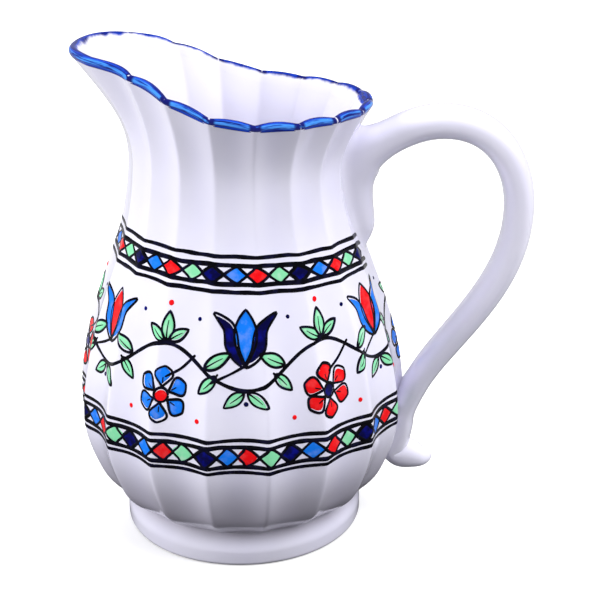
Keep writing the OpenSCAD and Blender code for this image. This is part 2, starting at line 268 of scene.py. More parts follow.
def wall_radius(s, angle, z):
    """Radius of the outside wall: the outline, less the flutes, plus the pull of the spout.
    Above the seam a place keeps its share of the way up to the rim."""
    angle, z = np.broadcast_arrays(np.asarray(angle, float), np.asarray(z, float))
    neck = s.rim_height - s.seam_height
    share = (z - s.seam_height) / (rim_top(s, angle) - s.seam_height)
    level = np.where(share > 0, s.seam_height + share * neck, z)
    depth = along([
        (s.foot_height, s.flute_foot, 0), (s.turn_height, s.flute_belly, 0),
        (s.belly_height, s.flute_belly, 0), (s.seam_height, s.flute_seam, 0),
        (s.rim_height, s.flute_rim, 0)], level)
    calm = 1 - spout_bell(angle, FLUTE_BELL) * ease(share)
    pull = s.spout_reach * spout_bell(angle, REACH_BELL) * pulled(share)
    back = spout_bell(angle + pi, HANDLE_BELL) * ease((share - BULGE_START) / (1 - BULGE_START))
    calm, pull = calm * (1 - HANDLE_CALM * back), pull + HANDLE_BULGE * back
    return outline(s, level) - depth * hollow(s, flute_place(s, angle, level)) * calm + pull


def polar(radius, angle, z):
    """Points at a radius, an angle and a height."""
    return np.stack(np.broadcast_arrays(radius * np.cos(angle), radius * np.sin(angle), z), -1)


# Closed skins, and the pieces made of them

def skin(loops, marks, closed=False, finish=0):
    """Skin over rows of closed loops, an array of (row, point, 3). The rows run back to the
    first one, or end in a fan round the middle of the first and of the last loop. marks holds
    the pattern coordinates, with one more column, and one more row when the rows are closed.
    The faces are turned outwards by the sign of the enclosed volume. Gives the points, the
    quads, the triangles, the marks of both, and the number of the finish."""
    rows, count = loops.shape[:2]
    i, j = np.indices((rows if closed else rows - 1, count)).reshape(2, -1)
    i2, j2 = (i + 1) % rows, (j + 1) % count
    quads = np.stack([i * count + j, i2 * count + j, i2 * count + j2, i * count + j2], 1)
    quad_marks = np.stack([marks[i, j], marks[i + 1, j], marks[i + 1, j + 1], marks[i, j + 1]], 1)
    points = loops.reshape(-1, 3)
    fans, fan_marks = np.zeros((0, 3), int), np.zeros((0, 3, 2))
    if not closed:
        points = np.vstack([points, loops[[0, -1]].mean(1)])
        k = np.arange(count)
        k2, end = (k + 1) % count, (rows - 1) * count
        fans = np.vstack([np.stack([k2, k, np.full(count, rows * count)], 1),
                          np.stack([end + k, end + k2, np.full(count, rows * count + 1)], 1)])
        fan_marks = np.vstack([
            np.stack([marks[row, first], marks[row, second], marks[row, first]], 1)
            for row, first, second in ((0, k + 1, k), (-1, k, k + 1))])
    a, b, c, d = (points[quads[:, n]] for n in range(4))
    volume = (a * np.cross(b, c)).sum() + (a * np.cross(c, d)).sum()
    volume += (points[fans[:, 0]] * np.cross(points[fans[:, 1]], points[fans[:, 2]])).sum()
    if volume < 0:
        quads, quad_marks = quads[:, ::-1], quad_marks[:, ::-1]
        fans, fan_marks = fans[:, ::-1], fan_marks[:, ::-1]
    return points, quads, fans, quad_marks, fan_marks, finish


# Edges that turn by more than this are shaded sharp
SHARP = radians(48)


def add_piece(name, solids, finishes, replaced, sharp=SHARP):
    """One object of closed solids on the body of the jug, shown in place of a node. A solid is
    what skin() gives. The quads of all solids come first, and their triangles after them."""
    starts = np.cumsum([0] + [len(solid[0]) for solid in solids[:-1]])
    corners, marks, index, sizes = [], [], [], []
    for part, size in ((1, 4), (2, 3)):
        for solid, start in zip(solids, starts):
            corners.append((solid[part] + start).ravel())
            marks.append(solid[part + 2].ravel())
            index.append(np.full(len(solid[part]), solid[5]))
            sizes.append(np.full(len(solid[part]), size))
    corners, index, sizes = (np.concatenate(a).astype(np.int32) for a in (corners, index, sizes))
    marks = np.concatenate(marks).astype(np.float32)
    points = np.concatenate([solid[0] for solid in solids]).astype(np.float32)
    mesh = bpy.data.meshes.new(name)
    mesh.vertices.add(len(points))
    mesh.vertices.foreach_set("co", points.ravel())
    mesh.loops.add(len(corners))
    mesh.loops.foreach_set("vertex_index", corners)
    mesh.polygons.add(len(sizes))
    mesh.polygons.foreach_set("loop_start", np.cumsum(sizes, dtype=np.int32) - sizes)
    mesh.uv_layers.new(name="Marks").data.foreach_set("uv", marks)
    mesh.polygons.foreach_set("material_index", index)
    mesh.polygons.foreach_set("use_smooth", np.ones(len(sizes), bool))
    mesh.update(calc_edges=True)
    mesh.set_sharp_from_angle(angle=sharp)
    for finish in finishes:
        mesh.materials.append(finish)
    piece = bpy.data.objects.new(name, mesh)
    bpy.context.scene.collection.objects.link(piece)
    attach(piece, "root")
    if replaced:
        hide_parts(replaced)
    return piece


def revolved(profile, columns):
    """Solid turned from a closed profile of radius and height."""
    angle = np.linspace(0, tau, columns, endpoint=False)
    loops = polar(profile[None, :, 0], angle[:, None], profile[None, :, 1])
    marks = np.stack(np.meshgrid(np.linspace(0, 1, columns + 1),
                                 np.linspace(0, 1, len(profile) + 1), indexing="ij"), -1)
    return skin(loops, marks, closed=True)


# Materials. Noises are scaled to the metre, and a range is where a smooth step starts and ends.

def add_node(tree, kind, inputs=None, **settings):
    """A node with its settings, and its inputs set or linked."""
    made = tree.nodes.new(kind)
    for name, value in settings.items():
        setattr(made, name, value)
    for name, value in (inputs or {}).items():
        if isinstance(value, bpy.types.NodeSocket):
            tree.links.new(value, made.inputs[name])
        else:
            made.inputs[name].default_value = value
    return made


def calc(tree, operation, a, b=0.0, c=0.0, clamp=False):
    """Result of one Math node."""
    return add_node(tree, "ShaderNodeMath", {0: a, 1: b, 2: c}, operation=operation,
                    use_clamp=clamp).outputs[0]


def spread(tree, value, low, high, to_low=0.0, to_high=1.0):
    """A value's range from low to high, smoothly stretched to another range."""
    return add_node(tree, "ShaderNodeMapRange",
                    {"Value": value, "From Min": low, "From Max": high, "To Min": to_low,
                     "To Max": to_high}, interpolation_type="SMOOTHSTEP").outputs[0]


def blended(tree, share, a, b):
    """Colour a share of the way from a to b."""
    return add_node(tree, "ShaderNodeMix", {0: share, 6: a, 7: b}, data_type="RGBA").outputs[2]


def noise(tree, place, scale, detail=2.0, roughness=0.5):
    """Noise between nought and one."""
    return add_node(tree, "ShaderNodeTexNoise", {
        "Vector": place, "Scale": scale, "Detail": detail, "Roughness": roughness}).outputs["Fac"]


def object_place(tree):
    """Place on the jug, in metres."""
    return tree.nodes.new("ShaderNodeTexCoord").outputs["Object"]


def marks_of(tree):
    """Pattern coordinates of a piece."""
    return add_node(tree, "ShaderNodeUVMap", uv_map="Marks").outputs[0]


def one_of(tree, vector, axis):
    """One coordinate of a vector."""
    return add_node(tree, "ShaderNodeSeparateXYZ", {0: vector}).outputs[axis]


def scaled(colour, share):
    """A colour made darker."""
    return [c * share for c in colour[:3]] + [1]


def new_group(name, inputs, outputs):
    """An empty node group with named sockets; each is a name, a kind and, for inputs, a default."""
    tree = bpy.data.node_groups.new(name, "ShaderNodeTree")
    for label, kind, value in inputs:
        tree.interface.new_socket(label, in_out="INPUT", socket_type=kind).default_value = value
    for label, kind in outputs:
        tree.interface.new_socket(label, in_out="OUTPUT", socket_type=kind)
    return tree, tree.nodes.new("NodeGroupInput").outputs, tree.nodes.new("NodeGroupOutput").inputs


FLOAT, COLOUR = "NodeSocketFloat", "NodeSocketColor"

# Scales of the glaze's noises, the clouds' range, and the share of thick glaze in a cloud
CLOUDS, WAVES, GRAIN, PINHOLES = 34, 95, 900, 150
CLOUD_RANGE, CLOUD_SHARE = (0.3, 0.75), 0.55
# Roughness of the waves, relief of the grain, and a pinhole: its edge, its stain and how far it
# is stained, roughened and sunk
WAVE_ROUGH, GRAIN_RELIEF = 0.07, 0.05
HOLE_EDGE, HOLE_COLOUR = (0.035, 0.075), (0.30, 0.27, 0.25, 1)
HOLE_STAIN, HOLE_ROUGH, HOLE_RELIEF = 0.10, 0.25, -0.12


def glaze_group():
    """Fired glaze: cloudy where it is thick, with slow waves, a fine skin and a few pinholes."""
    if "fired_glaze" in bpy.data.node_groups:
        return bpy.data.node_groups["fired_glaze"]
    tree, given, result = new_group(
        "fired_glaze",
        [("Thin", COLOUR, (1, 1, 1, 1)), ("Thick", COLOUR, (1, 1, 1, 1)), ("Pool", FLOAT, 0.0),
         ("Wave", FLOAT, 1.0), ("Gloss", FLOAT, 0.1)],
        [("Color", COLOUR), ("Roughness", FLOAT), ("Height", FLOAT)])
    place = object_place(tree)
    clouds = noise(tree, place, CLOUDS, 3)
    waves = noise(tree, place, WAVES, 2)
    grain = noise(tree, place, GRAIN, 1)
    holes = add_node(tree, "ShaderNodeTexVoronoi", {"Vector": place, "Scale": PINHOLES})
    hole = spread(tree, holes.outputs["Distance"], *HOLE_EDGE, 1.0, 0.0)
    thick = spread(tree, clouds, *CLOUD_RANGE, 0.0, CLOUD_SHARE)
    share = calc(tree, "ADD", given["Pool"], thick, clamp=True)
    base = blended(tree, share, given["Thin"], given["Thick"])
    stain = calc(tree, "MULTIPLY", hole, HOLE_STAIN)
    tree.links.new(blended(tree, stain, base, HOLE_COLOUR), result["Color"])
    rough = calc(tree, "MULTIPLY_ADD", waves, WAVE_ROUGH, given["Gloss"])
    tree.links.new(calc(tree, "MULTIPLY_ADD", hole, HOLE_ROUGH, rough), result["Roughness"])
    swell = calc(tree, "MULTIPLY", waves, given["Wave"])
    relief = calc(tree, "MULTIPLY_ADD", grain, GRAIN_RELIEF, swell)
    tree.links.new(calc(tree, "MULTIPLY_ADD", hole, HOLE_RELIEF, relief), result["Height"])
    return tree


# Scales of the enamel's noises, the range in which it is thin, the part of the way from a
# stroke's middle to its edge in which it gathers, and how dark and how strong that edge is
WASH, HAIRS = 260, 1500
THIN_RANGE, GATHER_RANGE = (0.42, 0.72), (0.62, 0.98)
EDGE_VALUE, EDGE_SHARE = 0.62, 0.6
# Roughness of the enamel and of the brush's hairs, and relief of the wash beside theirs
ENAMEL_ROUGH, HAIR_ROUGH, WASH_RELIEF = 0.10, 0.10, 0.6


def brush_group():
    """Brushed enamel, on the marks of a stroke: it gathers at the edge, thins in clouds, and its
    film shows the hairs of the brush."""
    if "brushed_enamel" in bpy.data.node_groups:
        return bpy.data.node_groups["brushed_enamel"]
    tree, given, result = new_group(
        "brushed_enamel",
        [("Pigment", COLOUR, (1, 1, 1, 1)), ("Washed", COLOUR, (1, 1, 1, 1)),
         ("Clouds", FLOAT, 0.5), ("Edge", FLOAT, 0.5)],
        [("Color", COLOUR), ("Roughness", FLOAT), ("Height", FLOAT)])
    place = object_place(tree)
    across = one_of(tree, marks_of(tree), 0)
    clouds = noise(tree, place, WASH, 3)
    fine = noise(tree, place, HAIRS, 2)
    thin = calc(tree, "MULTIPLY", spread(tree, clouds, *THIN_RANGE), given["Clouds"])
    rim = calc(tree, "MULTIPLY", spread(tree, across, *GATHER_RANGE), given["Edge"])
    thin = calc(tree, "SUBTRACT", thin, rim, clamp=True)
    base = blended(tree, thin, given["Pigment"], given["Washed"])
    dark = add_node(tree, "ShaderNodeHueSaturation", {"Value": EDGE_VALUE, "Color": base})
    edge = calc(tree, "MULTIPLY", rim, EDGE_SHARE)
    tree.links.new(blended(tree, edge, base, dark.outputs[0]), result["Color"])
    rough = calc(tree, "MULTIPLY_ADD", fine, HAIR_ROUGH, ENAMEL_ROUGH)
    tree.links.new(rough, result["Roughness"])
    tree.links.new(calc(tree, "MULTIPLY_ADD", clouds, WASH_RELIEF, fine), result["Height"])
    return tree


# Depth of relief of the glaze and of the enamel film, and what is the same on every finish
GLAZE_RELIEF = 0.0001
ENAMEL_RELIEF = 0.00003
GLAZE_IOR = 1.52
COAT_ROUGHNESS = 0.03
# Specular level and coat of the white glazes, of the blue and of the enamels
WHITE_SHINE, BLUE_SHINE, ENAMEL_SHINE = (0.5, 0.3), (0.35, 0.0), (0.1, 0.0)
# Roughness that the white glazes have at least, and the same of the clay and of the blue
WHITE_GLOSS, CLAY_GLOSS, BLUE_GLOSS = 0.07, 0.6, 0.05


def finish_material(name, group, values, relief, extra=None, shine=WHITE_SHINE):
    """A material whose colour, roughness and relief come from a group. Its inputs are values,
    and what extra makes in the material's own tree."""
    if name in bpy.data.materials:
        return bpy.data.materials[name]
    made = bpy.data.materials.new(name)
    made.use_nodes = True
    tree = made.node_tree
    shader = tree.nodes["Principled BSDF"]
    shader.inputs["IOR"].default_value = GLAZE_IOR
    shader.inputs["Specular IOR Level"].default_value = shine[0]
    shader.inputs["Coat Weight"].default_value = shine[1]
    shader.inputs["Coat Roughness"].default_value = COAT_ROUGHNESS
    inputs = {**values, **(extra(tree) if extra else {})}
    looks = add_node(tree, "ShaderNodeGroup", inputs, node_tree=group)
    bump = add_node(tree, "ShaderNodeBump", {"Height": looks.outputs["Height"],
                                             "Distance": relief, "Strength": 1.0})
    tree.links.new(looks.outputs["Color"], shader.inputs["Base Color"])
    tree.links.new(looks.outputs["Roughness"], shader.inputs["Roughness"])
    tree.links.new(bump.outputs[0], shader.inputs["Normal"])
    return made


def ridge_distance(tree):
    """Distance from the nearest ridge in flutes, from the marks of the fluted pieces."""
    return calc(tree, "PINGPONG", one_of(tree, marks_of(tree), 0), 0.5)


def white_glaze(colours):
    """White glaze, as it is on the base and the handle."""
    return finish_material("tin_white", glaze_group(), {
        "Thin": colours.white[:], "Thick": colours.milk[:], "Wave": 1.0, "Gloss": WHITE_GLOSS},
        GLAZE_RELIEF)


# Heights from which and to which the foot and the underside of the belly darken with painted
# shade, where the belly shades itself and the foot, how dark that painted shade gets, and the
# share of thick glaze in the middle of a flute, with the distances from a ridge in flutes between
# which it grows
FOOT_SHADE_HEIGHTS, BELLY_SHADE_HEIGHTS, DEEPEST_SHADE = (0.008, 0.016), (0.056, 0.020), 0.6
FLUTE_POOL, POOL_RANGE = 0.45, (0.05, 0.5)
# Way out from the axis, in metres, times the normal: from here to there it faces in
FACING_IN = (0.0, -0.01)


def painted_crease_shade(tree, colours, far, near):
    """White glaze darkened with painted shade from one height to another, towards the crease over
    the foot.
    """
    share = spread(tree, one_of(tree, object_place(tree), 2), far, near, 0.0, DEEPEST_SHADE)
    return {"Thin": blended(tree, share, colours.white[:], colours.crease[:]),
            "Thick": blended(tree, share, colours.milk[:], colours.crease[:])}


def foot_glaze(colours):
    """White glaze of the foot, with painted shade under the belly."""
    return finish_material(
        "tin_white_foot", glaze_group(), {"Wave": 1.0, "Gloss": WHITE_GLOSS}, GLAZE_RELIEF,
        lambda tree: painted_crease_shade(tree, colours, *FOOT_SHADE_HEIGHTS))


def faces_in(tree):
    """Share by which a place faces the jug's axis: 1 on the inside of the walls. It is the
    normal times the level way out from the axis, which is negative there."""
    seat = tree.nodes.new("ShaderNodeTexCoord").outputs
    level = add_node(tree, "ShaderNodeVectorMath", {0: seat["Object"], 1: (1, 1, 0)},
                     operation="MULTIPLY").outputs[0]
    away = add_node(tree, "ShaderNodeVectorMath", {0: level, 1: seat["Normal"]},
                    operation="DOT_PRODUCT").outputs["Value"]
    return spread(tree, away, *FACING_IN)


def fluted_glaze(colours):
    """White glaze that gathers in the flutes and draws thin on the ridges, darkens with painted
    shade towards the foot, and on the inside is kept pale and even as painted light."""
    def pool(tree):
        # Painted light: on the inside the glaze keeps its pale thin colour, without clouds or pools
        inner = faces_in(tree)
        looks = painted_crease_shade(tree, colours, *BELLY_SHADE_HEIGHTS)
        pooled = spread(tree, ridge_distance(tree), *POOL_RANGE, 0.0, FLUTE_POOL)
        outer = calc(tree, "SUBTRACT", 1.0, inner)
        return {"Pool": calc(tree, "MULTIPLY", pooled, outer), "Thin": looks["Thin"],
                "Thick": blended(tree, inner, looks["Thick"], colours.white[:])}
    return finish_material("tin_white_in_flutes", glaze_group(),
                           {"Wave": 1.0, "Gloss": WHITE_GLOSS}, GLAZE_RELIEF, pool)


def bare_clay(colours):
    """Unglazed clay, rough and a little uneven."""
    return finish_material("bare_clay", glaze_group(), {
        "Thin": colours.clay[:], "Thick": scaled(colours.clay, 0.8), "Wave": 0.6,
        "Gloss": CLAY_GLOSS}, GLAZE_RELIEF)


# The lighter blue on the lip's outer round is thin glaze and also painted highlight.
# The blue of the rim changes over these ranges: of its streaks' noise,
STREAK_BLUE, STREAK_THIN_AND_HIGHLIGHT = (0.34, 0.58), (0.40, 0.56)
# of the way over the lip, which is 0 where its round starts inside and 1 where it ends outside,
THIN_AND_HIGHLIGHT_INSIDE, THIN_AND_HIGHLIGHT_OUTSIDE = (0.50, 0.64), (1.0, 0.84)
DARK_EDGE, DARK_END, DARK_BELOW = (0.48, 0.36), (0.12, 0.26), (1.08, 1.30)
BLUE_START = (0.07, 0.01)
# of the distance from a ridge in flutes, each with a range of a noise that breaks it up,
POOL_BESIDE, POOL_BLOTS = (0.17, 0.09), (0.34, 0.44)
BARE_AND_GLINT_RIDGE, BARE_AND_GLINT_SPOTS = (0.024, 0.012), (0.50, 0.58)
# and of X: on the beak there are no ridges, and over the handle the blue starts further in
BEAK, OVER_HANDLE = (-0.056, -0.050), (0.046, 0.057)
# How far the blots and the slow noise shift the way over the lip, and how far further in the
# blue starts over the handle
BLOT_SHIFT, SLOW_SHIFT, HANDLE_SHIFT = 0.12, 0.10, 0.10
# Scales of the noises, and the streaks' scale along the rim and over the lip
BLOTS, SLOW, FINE = 190, 45, 420
STREAKS = (1.3, 6, 1)
# The white spots on the ridges are glaze drawn thin and also painted glints
BARE_AND_GLINT_SHARE = 0.75


def blue_glaze(colours):
    """Blue of the rim: streaky, lighter on the outer round of the lip, where the glaze is thin and
    a highlight is painted, dark along the lip's inner edge and below, dark pools beside each ridge,
    and drawn thin over the ridge itself, with white spots there that are also painted glints."""
    def looks(tree):
        def product(a, b):
            return calc(tree, "MULTIPLY", a, b)

        def shifted(way, by, share):
            """A way over the lip, moved by a share of a noise less its middle."""
            return calc(tree, "MULTIPLY_ADD", calc(tree, "SUBTRACT", by, 0.5), share, way)

        off, place, marks = ridge_distance(tree), object_place(tree), marks_of(tree)
        along_x = one_of(tree, place, 0)
        long = add_node(tree, "ShaderNodeMapping", {"Vector": marks, "Scale": STREAKS})
        streak = noise(tree, long.outputs[0], 1.0, 3, 0.65)
        blot = noise(tree, place, BLOTS, 3)
        slow = noise(tree, place, SLOW, 1)
        fine = noise(tree, place, FINE, 1)
        over = shifted(one_of(tree, marks, 1), blot, BLOT_SHIFT)
        dark, pale = colours.blue_pool[:], colours.white[:]
        body = blended(tree, spread(tree, streak, *STREAK_BLUE), dark, colours.blue[:])
        # Lighter blue on the lip's outer round: thin glaze and painted highlight
        light = product(spread(tree, over, *THIN_AND_HIGHLIGHT_INSIDE), spread(tree, over, *THIN_AND_HIGHLIGHT_OUTSIDE))
        light = product(light, spread(tree, streak, *STREAK_THIN_AND_HIGHLIGHT))
        body = blended(tree, light, body, colours.blue_thin_and_highlight[:])
        inner = product(spread(tree, over, *DARK_EDGE, 0.0, 0.85),
                        spread(tree, over, *DARK_END, 0.25, 1.0))
        edge = calc(tree, "MAXIMUM", inner, spread(tree, over, *DARK_BELOW, 0.0, 0.8))
        ridged = spread(tree, along_x, *BEAK)
        beside = product(spread(tree, off, *POOL_BESIDE), spread(tree, blot, *POOL_BLOTS))
        beside = product(beside, ridged)
        body = blended(tree, calc(tree, "MAXIMUM", edge, beside), body, dark)
        # White spots on the ridges: glaze drawn thin, and painted glints
        bare = product(spread(tree, off, *BARE_AND_GLINT_RIDGE), spread(tree, fine, *BARE_AND_GLINT_SPOTS))
        bare = product(bare, ridged)
        body = blended(tree, product(bare, BARE_AND_GLINT_SHARE), body, pale)
        start = calc(tree, "ADD", shifted(over, slow, SLOW_SHIFT),
                     spread(tree, along_x, *OVER_HANDLE, 0.0, HANDLE_SHIFT))
        body = blended(tree, spread(tree, start, *BLUE_START), body, pale)
        return {"Thin": body, "Thick": body}
    return finish_material("cobalt_rim", glaze_group(), {"Wave": 1.6, "Gloss": BLUE_GLOSS},
                           GLAZE_RELIEF, looks, BLUE_SHINE)


def enamel(name, pigment, washed, clouds, edge):
    """One enamel: its colour, its colour where it is thin, how far it thins in clouds, and how
    far it gathers at the edge."""
    return finish_material(name, brush_group(), {
        "Pigment": pigment[:], "Washed": washed[:], "Clouds": clouds, "Edge": edge},
        ENAMEL_RELIEF, shine=ENAMEL_SHINE)


def lighter(colour, share):
    """Colour thinned towards the white of the glaze."""
    return [c + (UNDER_ENAMEL - c) * share for c in colour[:3]] + [1]


BLACK, NAVY, SKY, RED, MINT = range(5)
UNDER_ENAMEL = 0.8
NAVY_WASHED = (0.002, 0.004, 0.22, 1)


def enamels(colours):
    """The painter's five enamels, in the order of their numbers."""
    return [enamel("black_line", colours.black, lighter(colours.navy, 0.01), 0.4, 0.3),
            enamel("navy_enamel", colours.navy, NAVY_WASHED, 0.9, 0.7),
            enamel("sky_enamel", colours.sky, lighter(colours.sky, 0.16), 0.8, 0.6),
            enamel("red_enamel", colours.red, lighter(colours.red, 0.05), 0.8, 0.5),
            enamel("mint_enamel", colours.mint, lighter(colours.mint, 0.35), 0.9, 0.6)]


# Painting on the wall. A path is an array of angle and height.

def flowing(points, closed=False, samples=24):
    """Curve through points: between two of them a cubic whose slopes are half the chord of
    their neighbours."""
    p = np.asarray(points, float)
    p = np.vstack([p[-1], p, p[:2]] if closed else [2 * p[0] - p[1], p, 2 * p[-1] - p[-2]])
    t = np.linspace(0, 1, samples, endpoint=False)[None, :, None]
    a, b, c, d = (p[k:len(p) - 3 + k, None] for k in range(4))
    q = 0.5 * (2 * b + (c - a) * t + (2 * a - 5 * b + 4 * c - d) * t**2
               + (3 * b - a - 3 * c + d) * t**3)
    q = q.reshape(-1, p.shape[1])
    return q if closed else np.vstack([q, p[-2]])


# Section of a stroke: share of the half width, and share of the film's thickness
STROKE_SECTION = np.array([(-1, -0.25), (-0.6, 0.8), (0, 1), (0.6, 0.8), (1, -0.25), (0, -0.8)])
# Distance from section to section and from ring to ring, and the sections of a rounded end, in
# shares of its length
STROKE_STEP, FILL_STEP = 0.0007, 0.0011
STROKE_TIP = np.array([0, 0.12, 0.4])
# From knot to knot, which stand this far from each other and run past its end by at most the
# spare length, a stroke's width changes between these shares
SWELL_STEP, SWELL_SPARE, SWELL_LEAST, SWELL_MOST = 0.0045, 0.005, 0.84, 1.14
# How far its ends are rounded: at 1 they would be half circles that end in a point
ROUNDING = 0.97
# Keeps the direction of a stroke from being divided by nought
TINY = 1e-12


def stroke(s, path, width, film, rng=None):
    """A black brush stroke: a thin closed ribbon along a path, its section an arched film. Its
    width is a number or one for each point of the path, and with rng it swells and thins."""
    path = np.asarray(path, float)
    radius = outline(s, path[:, 1].mean())
    flat = np.stack([path[:, 0] * radius, path[:, 1]], 1)
    gone = np.concatenate([[0], np.cumsum(np.linalg.norm(np.diff(flat, axis=0), axis=1))])
    count = max(int(gone[-1] / STROKE_STEP), 6)
    end = min(np.max(width) * 0.5, gone[-1] * 0.3)
    at = np.concatenate([STROKE_TIP * end, np.linspace(end, gone[-1] - end, count),
                         gone[-1] - STROKE_TIP[::-1] * end])
    half = np.interp(at, gone, np.broadcast_to(width, gone.shape)) / 2
    if rng is not None:
        knots = np.arange(0, gone[-1] + SWELL_SPARE, SWELL_STEP)
        half = half * np.interp(at, knots, rng.uniform(SWELL_LEAST, SWELL_MOST, len(knots)))
    near = np.clip(np.minimum(at, gone[-1] - at) / end, 0, 1)
    half = half * np.sqrt(1 - (1 - near) ** 2 * ROUNDING)
    middle = np.stack([np.interp(at, gone, flat[:, 0]), np.interp(at, gone, flat[:, 1])], 1)
    ahead = np.gradient(middle, at, axis=0)
    ahead /= np.linalg.norm(ahead, axis=1)[:, None] + TINY
    off = half[:, None] * STROKE_SECTION[None, :, 0]
    across = middle[:, None, 0] - ahead[:, None, 1] * off
    height = middle[:, None, 1] + ahead[:, None, 0] * off
    angle = across / radius
    lift = film * STROKE_SECTION[None, :, 1] * np.clip(half / (np.max(half) * 0.5), 0, 1)[:, None]
    loops = polar(wall_radius(s, angle, height) + lift, angle, height)
    marks = np.stack(np.broadcast_arrays(
        np.abs(np.append(STROKE_SECTION[:, 0], STROKE_SECTION[0, 0]))[None, :],
        (at / gone[-1])[:, None]), -1)
    return skin(loops, marks, finish=BLACK)


# A dab is this high over its sunk edge, in film thicknesses, and its underside is a ring at
# this share of the way out and this deep
DAB_HEIGHT, DAB_EDGE = 1.15, 0.15
UNDER_SHARE, UNDER_DEPTH = 0.8, 0.9


def fill(s, edge, film, finish):
    """A dab of enamel inside a closed edge: rings that shrink from it towards its middle under
    a low dome, one minus the sixth power of the share of the way out."""
    edge = np.asarray(edge, float)
    middle = edge.mean(0)
    size = np.linalg.norm((edge - middle) * [outline(s, middle[1]), 1], axis=1).max()
    rings = np.linspace(0, 1, max(int(size / FILL_STEP), 2) + 2)[1:]
    share = np.append(rings, UNDER_SHARE)
    lift = np.append(DAB_HEIGHT * (1 - rings**6) - DAB_EDGE, -UNDER_DEPTH) * film
    place = middle + (edge - middle)[None] * share[:, None, None]
    loops = polar(wall_radius(s, place[..., 0], place[..., 1]) + lift[:, None],
                  place[..., 0], place[..., 1])
    marks = np.stack(np.broadcast_arrays(share[:, None],
                                         np.linspace(0, 1, len(edge) + 1)[None, :]), -1)
    return skin(loops, marks, finish=finish)


def on_jug(s, points, angle, z):
    """Points of a motif, in metres sideways and up, laid on the wall round an angle and a
    height."""
    points = np.asarray(points, float)
    height = z + points[:, 1]
    return np.stack([angle + points[:, 0] / outline(s, height), height], 1)


def turned(points, heading, at=(0.0, 0.0)):
    """Points turned by an angle and moved."""
    c, n = cos(heading), sin(heading)
    return np.asarray(points) @ np.array([[c, n], [-n, c]]) + np.asarray(at)


def pod(long, wide, belly=1.0, points=22):
    """Closed edge of a leaf or petal along +X: its half width is a sine, to the power 0.85, of
    the share of its length raised to a power, which moves its widest place."""
    t = (1 - np.cos(np.linspace(0, pi, points))) / 2
    half = wide / 2 * np.sin(pi * t**belly) ** 0.85
    up = np.stack([long * t, half], 1)
    return np.vstack([up[:-1], up[::-1][:-1] * [1, -1]])


def disc(radius, points=20):
    """Closed edge of a round dab."""
    a = np.linspace(0, tau, points, endpoint=False)
    return np.stack([radius * np.cos(a), radius * np.sin(a)], 1)


# The two lozenge borders: places of a border's four lines, in shares of its height, angle of
# one navy lozenge, and start of the random draws
LOW_LINES, LOW_FIRST, LOW_SEED = (0, 0.18, 0.80, 1), radians(-96.3), 3
TOP_LINES, TOP_FIRST, TOP_SEED = (0, 0.215, 0.74, 1), radians(-95.0), 5
LOZENGE_ORDER = (NAVY, SKY, RED, MINT)
# Half of the height by which the upper border sinks from the spout to the handle, and the angle
# over which it sinks once more beside the handle
TOP_TILT, BESIDE_HANDLE = 0.0022, radians(12)
# The borders stop at this angle from the handle's middle, each line a little before or after,
# and no lozenge stands nearer than this share of a step
BORDER_END, END_DRIFT, LAST_LOZENGE = 0.12, (-0.02, 0.03), 0.35
# The lozenges stay this share of the border's height clear of the lines' middles. Their own
# lines run on past the crossings by a share of a step, to this share of their half height
# beyond the middle, and bend outward at the next share of it.
LOZENGE_GAP, RUN_ON, RUN_DOWN, BEND = 0.03, 0.06, 0.1, 0.56
# Power of a lozenge's hollow sides and its reach: the navy ones are fuller and have thick lines
NAVY_LOZENGE, OTHER_LOZENGE, NAVY_LINE = (1.4, 1.04), (1.3, 0.98), 1.25
# An unsteady hand, as spreads of random draws: how far the long lines drift, in shares of the
# border's height; how far a lozenge drifts and leans, in shares of a step; and how far its dab
# and the points of its edge are off, in shares of a step and of its half height
LINE_DRIFT, PLACE_DRIFT, LEAN = 0.010, 0.05, 0.06
DAB_DRIFT, EDGE_DRIFT = (0.015, 0.025), (0.008, 0.015)
# Widths beside a border's outer lines: of its two inner lines, and of the lozenges' lines
INNER_LINE, THINNEST, THICKEST = 1.12, 0.68, 0.88
LINE_POINTS, DRIFT_KNOTS, LOZENGE_POINTS = 720, 60, 28


